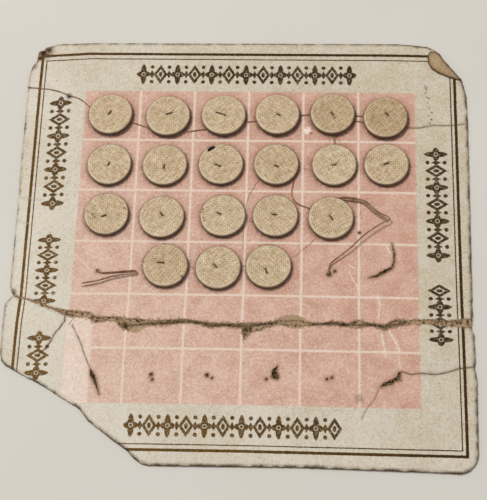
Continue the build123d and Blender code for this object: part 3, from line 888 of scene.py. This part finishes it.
def makeCard():
    up = levelGroups(True)
    down = levelGroups(False)
    flapLevel = max(up)
    tearLevel = round(face - sheet["tearDepth"], 2)
    plyLevel = round(face - sheet["plyDepth"], 2)
    topStack = stackOf(up)
    highest = sheet["grooveDepth"] + 0.01
    backStack = stackOf({level: faces for level, faces in down.items() if level <= highest})
    grooveRim = rimOf(down[sheet["grooveDepth"]])
    through = {edge for edge in rimOf(down[0.0]) | grooveRim if None in bothSides(backStack, edge, False)}
    steps = set()
    for level in (tearLevel, plyLevel):
        for edge in rimOf(up[level]):
            sides = bothSides(topStack, edge)
            if None not in sides and sides[0] != sides[1]:
                steps.add(edge)
    walls = joinEdges(through, steps)
    lips = sampled({edge for edge in steps if tearLevel in bothSides(topStack, edge)}, 0.12)
    throughPoints = sampled(through, 0.15)
    boxes = [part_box(node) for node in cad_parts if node.startswith("button")]
    covered = nearTree([((low.x + high.x) / 2 / mm, (low.y + high.y) / 2 / mm) for low, high in boxes])
    holes = [p for p in throughPoints if not outside(p) and away(covered, *p) > sheet["underButton"]]
    # the tear's cracks are sunk lines darkened with painted shade
    lines = [(x, y, *look) for *look, points in creases + [(-0.3, 0.36, 0.0, 0.9, run) for run in tearCracks]
             for x, y in sampled(list(zip(points, points[1:])), 0.15)]

    fineCells = cellsNear(lips[::2], 1.1, sheet["fine"])
    fineCells |= cellsNear(sampled(steps, 0.3), 0.5, sheet["fine"])
    fineCells |= cellsNear([line[:2] for line in lines[::2]], 0.5, sheet["fine"])
    fineCells |= cellsNear(holes[::2], 0.9, sheet["fine"])
    fineCells |= cellsNear([mark[:2] for mark in marks], 1.0, sheet["fine"])
    spots, net = triangulate(walls, sheet["coarse"], fineCells, sheet["fine"],
                             lambda x, y: levelAt(topStack, x, y))
    print("card face:", len(net), "triangles")
    trees = {"edge": nearTree([p for p in throughPoints if outside(p)]), "lip": nearTree(lips),
             "hole": nearTree(holes), "ply": nearTree(sampled(steps, 0.12)), "button": covered}
    tops, looks = faceHeights(spots, net, trees, lines, plyLevel)

    grooveTree = nearTree(sampled(grooveRim, 0.1))
    grooveCells = cellsNear(sampled(grooveRim, 0.2), sheet["grooveReach"], sheet["backFine"])
    backSpots, backNet = triangulate(walls, sheet["backCoarse"], grooveCells, sheet["backFine"],
                                     lambda x, y: levelAt(backStack, x, y, False))
    print("card back:", len(backNet), "triangles")
    backs = []
    for x, y in backSpots:
        inside = levelAt(backStack, x, y, False) == sheet["grooveDepth"]
        share = 1.0 if inside else max(0.0, 1 - away(grooveTree, x, y) / sheet["grooveSlope"])
        backs.append(sheet["grooveDepth"] * share * share * (3 - 2 * share))

    points, faces, kinds = closeSheet(spots, net, tops, backSpots, backNet, backs, 0.09)
    looks += [(0.0, 0.0, 0.0, 0.0)] * len(backs)
    # the cut walls: brown wear, and darkening that is grime with painted shade
    looks += [(0.85 + 0.5 * wave(x, y, z, 0.4), 0.0, max(0.0, 0.55 + 1.2 * wave(x, y, z, 0.7)), 0.0)
              for x, y, z in points[len(looks):]]
    flapPoints, flapFaces, flapKinds = makeFlap(up[flapLevel])
    base = len(points)
    points += flapPoints
    faces += [tuple(base + corner for corner in corners) for corners in flapFaces]
    kinds += ["wall" if kind == "wall" else "flap" for kind in flapKinds]
    edge = nearTree(sampled(rimOf(up[flapLevel]), 0.15))
    # round the dog-ear's rim: grey wear, and a dark line that is painted shade for the gap under its lifted
    # edge
    looks += [(max(0.0, 1 - away(edge, x, y) / 1.3), 0.0, 0.85 * max(0.0, 1 - away(edge, x, y) / 0.55), 0.0)
              for x, y, z in flapPoints]

    slotOf = {tearLevel: 1, plyLevel: 1, "back": 2, "wall": 2, "flap": 2}
    fibre = makeFibre()
    card = addPiece("cardSheet", points, faces, [makePrint(), fibre, makeBoard()],
                    [slotOf.get(kind, 0) for kind in kinds])
    for name, values in zip(("wear", "rub", "grimeAndShade", "shade"), zip(*looks)):
        paint(card, name, values)
    bakeMap(card, kinds)
    softEdges(card, 55)
    settle(card, "card", "card")
    print("card:", len(card.data.polygons), "faces")

    inner = {edge for edge in through if not outside(edge[0]) and not outside(edge[1])}
    makeLowPly(inner, topStack, fibre)
    bare = {edge for edge in inner if away(covered, *edge[0]) > sheet["underButton"]}
    makeShreds(lipRuns(steps, topStack, tearLevel) + lipRuns(bare, topStack, None), fibre)


# Threads: every line is a smooth curve through the frame's own route points
thread = {"thick": 0.44, "fine": 0.34, "sides": 6, "twist": 1.5, "step": 0.16, "apart": 0.48, "plump": 0.97}
frontLine = [
    (-82.3, 61.9), (-76.0, 61.6), (-70.6, 60.4), (-66.4, 58.5), (-62.4, 57.2), (-59.4, 54.6), (-55.4, 50.2),
    (-50.2, 47.8), (-44.4, 47.9), (-38.4, 45.9), (-31.6, 43.1), (-24.4, 43.2), (-17.0, 44.4), (-9.4, 45.4),
    (-1.8, 47.4), (5.6, 48.2), (10.6, 47.1), (15.2, 49.2), (20.4, 50.4), (26.4, 50.9), (32.6, 51.4),
    (38.4, 49.8), (42.4, 49.6), (45.6, 50.4), (47.2, 48.6), (45.6, 46.6), (41.6, 47.2), (37.4, 48.1),
    (33.6, 46.8), (31.2, 43.6), (30.9, 40.6), (31.3, 38.2),
]
strayLine = [(16.8, 24.45), (15.9, 20.6), (16.0, 17.8), (17.4, 15.4), (19.7, 14.1), (22.4, 13.1)]
fineHeight = 0.19
longRoute = [
    (32.7, 17.05, 0.3), (34.9, 17.7, 0.5), (38.6, 16.7, 0.9), (42.4, 15.7, 1.2), (44.8, 12.9, 1.5),
    (47.6, 10.3, 1.8), (50.5, 9.2, 1.9), (50.8, 8.2, 1.9), (48.4, 7.1, 1.9), (44.6, 4.6, 1.9),
    (40.8, 1.4, 1.8), (37.4, -2.3, 1.7), (33.2, -5.6, 1.3), (30.2, -7.9, 0.9), (29.3, -10.2, 0.65),
    (29.4, -11.5, 0.4), (29.6, -12.05, -0.3),
]
secondRoute = [
    (33.55, 16.7, 0.25), (37.4, 15.9, 0.6), (40.8, 15.7, 0.9), (43.0, 13.6, 1.2), (45.4, 10.8, 1.5),
    (49.4, 8.6, 1.75),
]
foldedRoute = [
    (-51.85, -11.0, -0.5), (-51.7, -11.1, 0.3), (-50.2, -11.9, 0.42), (-46.4, -11.6, 0.45),
    (-42.6, -11.25, 0.5), (-40.4, -11.08, 0.55), (-39.1, -11.0, 0.6), (-38.05, -11.03, 0.65),
    (-37.7, -11.63, 0.7), (-38.05, -12.23, 0.75), (-39.2, -12.36, 0.8), (-41.0, -12.5, 0.9),
    (-44.0, -12.9, 1.05), (-47.4, -13.7, 1.25), (-52.0, -15.5, 1.5), (-56.8, -16.2, 1.6),
]
looseThreads = [  # node, route, diameter, length and far end of those that are declared as cords
    ("front_thread_row_1", [(x, y, fineHeight) for x, y in frontLine], "fine", 159.5, "bare"),
    ("long_thread", longRoute, "thick", 52.3, "object"),
    ("folded_thread_end", foldedRoute, "thick", 35.1, "bare"),
    ("long_thread_second_strand", secondRoute, "thick", None, None),
    ("stray_thread_end", [(x, y, fineHeight) for x, y in strayLine], "fine", None, None),
]
fluff = {"lift": 0.1, "thick": 0.08}
fluffLines = [  # single fibres that have come off the threads and lie on the face
    [(31.8, 42.0), (32.9, 40.2), (33.6, 37.8)],
    [(-57.2, -16.9), (-53.0, -16.0), (-48.4, -14.6), (-44.0, -13.4)],
    [(-55.6, -15.4), (-51.0, -14.6), (-46.6, -13.2), (-41.8, -12.2)],
    [(-50.6, -11.4), (-47.0, -12.0), (-43.4, -11.6), (-39.4, -11.5)],
    [(30.7, 43.0), (30.5, 40.8), (30.8, 38.2)],
    [(31.5, 43.0), (31.7, 40.6), (32.2, 38.2)],
    [(29.2, 41.0), (28.9, 40.0), (29.3, 39.0)],
    [(4.5, 24.5), (2.0, 21.0), (0.4, 17.0), (-0.2, 14.0), (-0.5, 8.0), (-0.9, 1.0),
     (-0.9, -2.0), (1.2, -5.5)],
    [(24.7, 1.5), (19.0, -4.0), (17.4, -5.2), (15.5, -6.0)],
    [(20.0, 28.9), (21.0, 28.7), (22.4, 28.0)],
    [(57.3, 31.0), (58.2, 29.8), (59.5, 29.0)],
    [(-19.4, -9.2), (-18.6, -9.5), (-17.9, -9.5)],
    [(-60.6, -31.2), (-59.4, -29.0), (-58.6, -28.2)],
    [(8.0, 50.2), (12.0, 51.8), (16.0, 51.4), (18.5, 52.6)],
]


def makeThreadMaterial(name, dark, light):
    place = startMaterial(name, 0.85, 0.15, sheen=0.15)
    broad = grain(place, 0.35, 2)
    fine = grain(place, 3.0, 3, 0.7)
    colour = mixColour(spread(broad, 0.35, 0.65), dark, light)
    colour = mixColour(spread(fine, 0.42, 0.66, 0.65), colour, tint(68, 42, 26))
    return finishMaterial(colour, fine, 0.6, 0.0001)


def smoothLine(name, route):  # points read from the smooth curve that the route's points control
    data = bpy.data.curves.new(name, "CURVE")
    data.dimensions = "3D"
    data.resolution_u = 16
    spline = data.splines.new("NURBS")
    spline.points.add(len(route) - 1)
    for point, (x, y, z) in zip(spline.points, route):
        point.co = (x * mm, y * mm, z * mm, 1)
    spline.order_u = 3
    spline.use_endpoint_u = True
    curve = bpy.data.objects.new(name, data)
    bpy.context.collection.objects.link(curve)
    mesh = bpy.data.meshes.new_from_object(curve)
    line = [vertex.co.copy() for vertex in mesh.vertices]
    bpy.data.objects.remove(curve)
    bpy.data.meshes.remove(mesh)
    return line


def evenly(line, step):  # the same line with points a step apart
    walked = np.concatenate([[0], np.cumsum([(b - a).length for a, b in zip(line, line[1:])])])
    count = max(2, int(walked[-1] / step))
    places = np.linspace(0, walked[-1], count + 1)
    return [Vector(row) for row in zip(*[np.interp(places, walked, values) for values in zip(*line)])]


def squared(line):  # each place with two directions square to the line, carried along it untwisted
    side = Vector((0, 0, 1)).cross(line[1] - line[0])
    if side.length < 1e-9:
        side = Vector((1, 0, 0))
    for i, place in enumerate(line):
        ahead = (line[min(i + 1, len(line) - 1)] - line[max(i - 1, 0)]).normalized()
        side = (side - ahead * side.dot(ahead)).normalized()
        yield place, side, ahead.cross(side)


def turned(side, up, angle):
    return side * math.cos(angle) + up * math.sin(angle)


def tube(points, faces, line, radii, sides):
    base = len(points)
    for radius, (place, side, up) in zip(radii, squared(line)):
        points += [place + turned(side, up, 2 * math.pi * j / sides) * radius for j in range(sides)]
    for i in range(len(line) - 1):
        for j in range(sides):
            a = base + i * sides + j
            b = base + i * sides + (j + 1) % sides
            faces.append((a, b, b + sides, a + sides))
    faces.append(tuple(base + j for j in reversed(range(sides))))
    faces.append(tuple(base + (len(line) - 1) * sides + j for j in range(sides)))


def twisted(line, diameter, seed):  # two plies laid round each other
    line = evenly(line, thread["step"] * mm)
    points = []
    faces = []
    radius = diameter / 2 * mm
    step = (line[1] - line[0]).length
    strands = [[], []]
    for i, (place, side, up) in enumerate(squared(line)):
        turn = 2 * math.pi * i * step / (thread["twist"] * mm)
        turn += 1.2 * noise.noise(Vector((i * 0.05, seed, 0)))
        out = turned(side, up, turn) * radius * thread["apart"]
        strands[0].append(place + out)
        strands[1].append(place - out)
    for number, strand in enumerate(strands):
        radii = [radius * (thread["plump"] + 0.1 * noise.noise(Vector((i * 0.12, seed, number))))
                 for i in range(len(strand))]
        tube(points, faces, strand, radii, thread["sides"])
    return points, faces, line


def threadPiece(name, line, diameter, material, seed):
    points, faces, line = twisted(line, diameter, seed)
    piece = addPiece(name, [tuple(point / mm) for point in points], faces, [material])
    return piece, line


def makeLooseThreads(material):
    for seed, (node, route, thickness, length, farEnd) in enumerate(looseThreads):
        lifted = [(x, y, face + z) for x, y, z in route]
        diameter = thread[thickness]
        piece, line = threadPiece(node + "_twist", smoothLine(node, lifted), diameter, material, seed)
        settle(piece, "thread", node)
    print("loose threads laid")


def makeFluff(material):
    points = []
    faces = []
    for number, spots in enumerate(fluffLines):
        line = evenly(smoothLine("fluff", [(x, y, face + fluff["lift"]) for x, y in spots]), 0.5 * mm)
        count = len(line) - 1
        swayed = []
        for i, place in enumerate(line):
            sway = [noise.noise(Vector((i * 0.3, number, level))) for level in (2, 7)]
            swayed.append((place + Vector((*sway, 0)) * mm * 0.3) / mm)
        tube(points, faces, swayed, [fluff["thick"] * (1 - 0.6 * i / count) for i in range(count + 1)], 4)
    piece = addPiece("threadFluff", points, faces, [material])
    settle(piece, "thread")
    print("fluff:", len(fluffLines), "fibres")


# Buttons: linen drawn over a ring, sewn down through two holes
button = {"radius": 8.1, "height": 1.75, "sides": 80, "edge": 0.62, "dish": 0.17, "crest": 7.25, "floor": 5.7}
stitches = {  # middle of the stitch on the button, its angle and span, the linen's turn, brownness
    "r1_c1": ((-0.2, 0.5), 57, 1.3, 40, 0.25), "r1_c2": ((0.4, 0.9), 20, 2.0, 50, 0.30),
    "r1_c3": ((-1.0, 0.4), -19, 3.4, 35, 0.20), "r1_c4": ((0.4, -0.2), -33, 1.3, -38, 0.30),
    "r1_c5": ((0.0, -0.2), -60, 1.1, 52, 0.70), "r1_c6": ((0.5, 1.3), -48, 1.3, 44, 0.90),
    "r2_c1": ((-0.2, 0.0), 60, 1.1, -45, 0.20), "r2_c2": ((-0.2, -0.7), 88, 1.4, 48, 0.30),
    "r2_c3": ((-1.0, -0.5), -22, 1.9, 42, 0.30), "r2_c4": ((0.1, -0.7), -25, 1.1, -50, 0.45),
    "r2_c5": ((0.1, 0.0), 10, 1.1, 38, 0.15), "r2_c6": ((-0.1, 0.3), 20, 1.7, 47, 0.35),
    "r3_c1": ((-0.8, -0.8), 20, 1.5, -40, 0.30), "r3_c2": ((0.0, 1.0), -58, 1.4, 55, 0.20),
    "r3_c3": ((-1.4, 0.8), -25, 1.4, 41, 0.10), "r3_c4": ((-0.3, 0.4), -5, 1.3, -47, 0.30),
    "r3_c5": ((0.1, 0.1), -54, 1.7, 36, 0.35), "r4_c2": ((-1.6, 1.0), -4, 2.1, 49, 0.50),
    "r4_c3": ((-1.0, 0.6), -45, 1.6, 43, 0.25), "r4_c4": ((-0.7, -1.8), -70, 1.8, -42, 0.20),
}
buttonSpots = {  # dark spots on the covers: place from the middle of the button, and radius
    "r2_c4": [(2.4, 7.6, 0.6), (3.4, 7.2, 0.4)], "r2_c6": [(-7.6, 2.6, 0.6)],
    "r3_c1": [(-4.8, -0.3, 0.5), (-4.2, -1.4, 0.35), (6.3, 2.0, 0.35)],
    "r3_c3": [(-7.2, 1.0, 0.35), (-6.8, -0.9, 0.3), (-7.1, 2.4, 0.3), (-6.4, 0.3, 0.25), (-6.6, -2.4, 0.3)],
    "r4_c2": [(6.2, -4.4, 0.6)], "r1_c5": [(0.8, -1.7, 0.35)], "r4_c3": [(1.2, -4.6, 0.3)],
}
wornPatch = {"button": "r2_c3", "angle": 121, "reach": 1.65, "inner": 6.35, "outer": 7.95, "cloth": 0.35}
weave = {"pitch": 0.5, "slubWide": 2.7, "slubLong": 0.3}


def makeLinen():
    onObject = startMaterial("linenWeave", 0.9, 0.15, sheen=0.1)
    place = uvPlace("weave")
    u, v = split(place)[:2]
    pitch = weave["pitch"]
    warp = calc("SINE", times(u, 2 * math.pi / pitch))
    weft = calc("SINE", times(v, 2 * math.pi / pitch))
    over = times(calc("SINE", times(u, math.pi / pitch)),
                calc("SINE", times(v, math.pi / pitch)))
    cloth = plus(times(plus(warp, weft), 0.25), over)
    slubU = grain(place, 1.0, 3, 0.6, stretch=(weave["slubLong"], weave["slubWide"], 1.0))
    slubV = grain(place, 1.0, 3, 0.6, stretch=(weave["slubWide"], weave["slubLong"], 1.0))
    soft = grain(onObject, 0.22, 3)
    speck = grain(place, 1.4, 3, 0.7)
    tone = attribute("tone")
    light = mixColour(tone, tint(248, 231, 202), tint(224, 201, 165))
    dark = mixColour(tone, tint(190, 164, 128), tint(160, 132, 94))
    shade = plus(spread(slubU, 0.43, 0.60, 0.7), spread(slubV, 0.43, 0.60, 0.5))
    colour = mixColour(shade, light, dark)
    colour = mixColour(spread(soft, 0.4, 0.68, 0.25), colour, dark)
    # painted shade in the hollows of the weave
    colour = mixColour(spread(cloth, 0.1, -0.7, 0.45), colour, tint(132, 104, 72))
    colour = mixColour(spread(speck, 0.60, 0.72, 0.4), colour, tint(240, 226, 202))
    colour = mixColour(spread(speck, 0.40, 0.30, 0.35), colour, tint(126, 98, 66))
    # lighter crest of worn linen, with a painted highlight on its lower-left side
    colour = mixColour(attribute("polishAndHighlight"), colour, tint(240, 225, 198))
    # soil at the stitch and the spots, with painted shade down the side and round the outer rim
    colour = marked(colour, "soilAndShade", speck, 0.1, 0.4, tint(82, 50, 30))
    return finishMaterial(colour, plus(times(cloth, 0.5), plus(slubU, slubV)), 0.8, 0.00014)


def buttonBlank(material):
    # A drum with a rounded rim and rings of faces on top, modelled once
    height = button["height"]
    bpy.ops.object.select_all(action="DESELECT")
    bpy.ops.mesh.primitive_cylinder_add(vertices=button["sides"], radius=button["radius"] * mm,
                                        depth=height * mm, location=(0, 0, height / 2 * mm))
    blank = bpy.context.object
    blank.name = "buttonBlank"
    bpy.ops.object.transform_apply(location=True)
    bpy.ops.object.mode_set(mode="EDIT")
    for rim, offset, segments in ((height, button["edge"], 4), (0.0, 0.4, 3)):
        bpy.ops.mesh.select_all(action="DESELECT")
        mesh = bmesh.from_edit_mesh(blank.data)
        for edge in mesh.edges:
            edge.select = all(abs(vert.co.z / mm - rim) < 0.01 for vert in edge.verts)
        bmesh.update_edit_mesh(blank.data)
        bpy.ops.mesh.bevel(offset=offset * mm, segments=segments, profile=0.5, affect="EDGES")
    for upward in (True, False):
        bpy.ops.mesh.select_all(action="DESELECT")
        mesh = bmesh.from_edit_mesh(blank.data)
        for flat in mesh.faces:
            flat.select = abs(flat.normal.z) > 0.99 and (flat.normal.z > 0) == upward and len(flat.verts) > 4
        bmesh.update_edit_mesh(blank.data)
        for ring in range(11 if upward else 3):
            bpy.ops.mesh.inset(thickness=(0.62 if upward else 1.9) * mm, depth=0)
        bpy.ops.mesh.poke()
    bpy.ops.mesh.select_all(action="SELECT")
    bpy.ops.mesh.normals_make_consistent(inside=False)
    bpy.ops.object.mode_set(mode="OBJECT")
    blank.data.materials.append(material)
    return blank


def shapeButton(piece, name, centre, seat, seed):
    # Dishes the linen inside the ring, pulls it in at the stitch and pulls the round a little out of true
    middle, angle, span, turn, tone = stitches[name]
    reach = Vector((math.cos(math.radians(angle)), math.sin(math.radians(angle)))) * span / 2
    ends = [Vector(middle) - reach, Vector(middle) + reach]
    laid = math.radians(turn)
    soilAndShade = []
    polishAndHighlight = []
    for vertex in piece.data.vertices:
        x, y, z = vertex.co / mm
        r = math.hypot(x, y)
        around = math.atan2(y, x)
        outline = 1 + 0.007 * math.sin(2 * around + seed) + 0.004 * math.sin(3 * around + 2 * seed)
        top = z > button["height"] * 0.55
        pull = min((Vector((x, y)) - end).length for end in ends)
        if top:
            inside = min(1.0, max(0.0, (button["crest"] - r) / (button["crest"] - button["floor"])))
            z -= button["dish"] * inside * inside * (3 - 2 * inside)
            z -= 0.24 * math.exp(-(pull / 0.7) ** 2)
            z += 0.03 * math.sin(5 * around + seed) * math.exp(-((pull - 1.8) / 1.2) ** 2)
            z += 0.05 * wave(x, y, seed, 0.35) + 0.02 * wave(x, y, seed + 5, 1.1)
        elif z > 0.3:
            outline += 0.012 * math.sin(math.pi * z / button["height"])
        # painted shade: darker down the side towards the card
        dirtAndShade = 0.95 * max(0.0, 1 - max(0.0, z - 0.5) / 1.1)
        dirtAndShade = max(math.exp(-(pull / 0.42) ** 2) if top else 0.0, dirtAndShade)
        for spotX, spotY, size in buttonSpots.get(name, []):
            dirtAndShade = max(dirtAndShade, math.exp(-(math.hypot(x - spotX, y - spotY) / size) ** 4) if top else 0.0)
        if top:
            # painted shade: a dark outline round the cover's outer edge
            dirtAndShade = max(dirtAndShade, 0.85 * math.exp(-((r - 8.15) / 0.36) ** 2))
        soilAndShade.append(dirtAndShade)
        # the lighter ring over the crest is wear, made brighter on the lower-left side as a painted highlight
        lit = 0.15 + 0.25 * max(0.0, -(x + y) / max(r, 0.1))
        polishAndHighlight.append(lit * math.exp(-((r - 7.45) / 0.25) ** 2) * (1 + wave(x, y, seed, 0.3)) if top else 0.0)
        vertex.co = Vector((centre.x + x * outline * mm, centre.y + y * outline * mm, (seat + z) * mm))
    paint(piece, "soilAndShade", soilAndShade)
    paint(piece, "polishAndHighlight", polishAndHighlight)
    paint(piece, "tone", [tone] * len(soilAndShade))
    layer = piece.data.uv_layers.new(name="weave")
    for loop in piece.data.loops:
        place = piece.data.vertices[loop.vertex_index].co
        x, y, z = (place.x - centre.x) / mm, (place.y - centre.y) / mm, place.z / mm - seat
        stretch = 1 + max(0.0, button["height"] - z) / button["radius"]
        u = (x * math.cos(laid) + y * math.sin(laid)) * stretch
        v = (y * math.cos(laid) - x * math.sin(laid)) * stretch
        layer.data[loop.index].uv = (u + seed * 3.7, v + seed * 1.9)


def wearThrough(piece, centre):  # the hole in the one worn cover, then the cover's own thickness
    select(piece)
    bpy.ops.object.mode_set(mode="EDIT")
    bpy.ops.mesh.select_all(action="SELECT")
    bpy.ops.mesh.subdivide(number_cuts=2)
    bpy.ops.mesh.select_all(action="DESELECT")
    mesh = bmesh.from_edit_mesh(piece.data)
    turn = math.radians(wornPatch["angle"])
    across = Vector((-math.sin(turn), math.cos(turn)))
    for flat in mesh.faces:
        place = (flat.calc_center_median() - centre) / mm
        r = math.hypot(place.x, place.y)
        side = abs(across.dot(place.xy)) / wornPatch["reach"] + 0.35 * wave(place.x, place.y, 1, 1.5)
        middle = (wornPatch["inner"] + wornPatch["outer"]) / 2
        off = abs(r - middle) / (wornPatch["outer"] - middle) * 1.05
        flat.select = flat.normal.z > -0.2 and place.z > 0 and side ** 2 + off ** 2 < 1 and place.y > 0
    bmesh.update_edit_mesh(piece.data)
    bpy.ops.mesh.delete(type="FACE")
    bpy.ops.object.mode_set(mode="OBJECT")
    shell = piece.modifiers.new("cover", "SOLIDIFY")
    shell.thickness = wornPatch["cloth"] * mm
    shell.offset = -1
    bpy.ops.object.modifier_apply(modifier="cover")


def makeButtons():
    linen = makeLinen()
    blank = buttonBlank(linen)
    places = {}
    for seed, name in enumerate(stitches):
        node = "button_" + name
        low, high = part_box(node)
        centre = Vector(((low.x + high.x) / 2, (low.y + high.y) / 2, 0))
        piece = blank.copy()
        piece.data = blank.data.copy()
        piece.name = "linen_" + name
        bpy.context.collection.objects.link(piece)
        shapeButton(piece, name, centre, low.z / mm, seed)
        if name == wornPatch["button"]:
            wearThrough(piece, Vector((centre.x, centre.y, low.z)))
        softEdges(piece, 60)
        settle(piece, "linen", node)
        places[name] = (centre / mm, low.z / mm)
    bpy.data.objects.remove(blank)
    print("buttons:", len(places))
    return places


stitchPath = {"back": 0.35, "bend": 0.38, "hole": 1.2, "below": 0.1, "over": 0.13, "inset": 0.25}


def makeStitches(places, material):
    # One running thread to a row: up through a button, over, down and on to the next
    back = stitchPath["back"]
    for row in (1, 2, 3, 4):
        route = []
        for name in sorted(n for n in places if n.startswith(f"r{row}")):
            centre, seat = places[name]
            middle, angle, span, turn, tone = stitches[name]
            reach = Vector((math.cos(math.radians(angle)), math.sin(math.radians(angle)), 0)) * span / 2
            first = centre + Vector((*middle, 0)) - reach
            second = centre + Vector((*middle, 0)) + reach
            inset = reach.normalized() * stitchPath["inset"]
            top = seat + button["height"] - button["dish"] - 0.12
            climb = (stitchPath["bend"], stitchPath["hole"], top - stitchPath["below"])
            route += [(first.x - off, first.y, back) for off in ((0.5,) if route else (6, 3, 0.5))]
            route += [(first.x, first.y, z) for z in climb]
            route += [(*spot.xy, top + stitchPath["over"]) for spot in (first + inset, second - inset)]
            route += [(second.x, second.y, z) for z in reversed(climb)]
            route.append((second.x + 0.5, second.y, back))
        route += [(second.x + off, second.y, back) for off in (3, 6)]
        node = f"sewing_thread_row_{row}"
        line = smoothLine(node, route)
        piece, line = threadPiece(f"running_thread_{row}", line, thread["thick"], material, 20 + row)
        settle(piece, "thread", node)
    print("rows sewn")


# The ring that shows through the worn cover keeps its frame shape, and is painted near black: tarnish with
# painted shade in the hole
def makeRing():
    place = startMaterial("tarnishAndShadeWire", 0.7, 0.1)
    colour = mixColour(spread(grain(place, 1.2, 4), 0.35, 0.65), tint(14, 9, 5), tint(38, 25, 16))
    wire = finishMaterial(colour)
    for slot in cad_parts["ring_r2_c3"].material_slots:
        slot.material = wire
    print("ring finished")


# Table and light
studio = {
    "table": tint(219, 216, 209),
    "tableShade": tint(214, 210, 203),
    "lamp": {"place": (-0.77, 0.69, 1.75), "size": 0.75, "power": 27.0, "colour": (1.0, 0.975, 0.94)},
    "fill": 0.41,
}


def makeStudio():
    place = startMaterial("paleTable", 0.7)
    colour = mixColour(spread(grain(place, 0.01, 3), 0.3, 0.7), studio["table"], studio["tableShade"])
    bpy.ops.object.select_all(action="DESELECT")
    bpy.ops.mesh.primitive_plane_add(size=3)
    table = bpy.context.object
    table.name = "table"
    table.data.materials.append(finishMaterial(colour))
    lamp = studio["lamp"]
    place = Vector(lamp["place"])
    aim = (-place).to_track_quat("-Z", "Y").to_euler()
    bpy.ops.object.light_add(type="AREA", location=place, rotation=aim)
    light = bpy.context.object.data
    light.shape = "DISK"
    light.size = lamp["size"]
    light.energy = lamp["power"]
    light.color = lamp["colour"]
    world = bpy.data.worlds.new("room")
    world.use_nodes = True
    back = world.node_tree.nodes["Background"]
    back.inputs["Color"].default_value = (1.0, 0.985, 0.96, 1)
    back.inputs["Strength"].default_value = studio["fill"]
    bpy.context.scene.world = world
    bpy.context.scene.view_settings.view_transform = "Standard"
    print("table and light set")


addCamera()
threadMaterial = makeThreadMaterial("brownThread", tint(132, 96, 70), tint(184, 148, 116))
sewnMaterial = makeThreadMaterial("sewnThread", tint(84, 58, 38), tint(118, 86, 58))
makeLooseThreads(threadMaterial)
makeFluff(threadMaterial)
makeCard()
buttonPlaces = makeButtons()
makeStitches(buttonPlaces, sewnMaterial)
makeRing()
makeStudio()
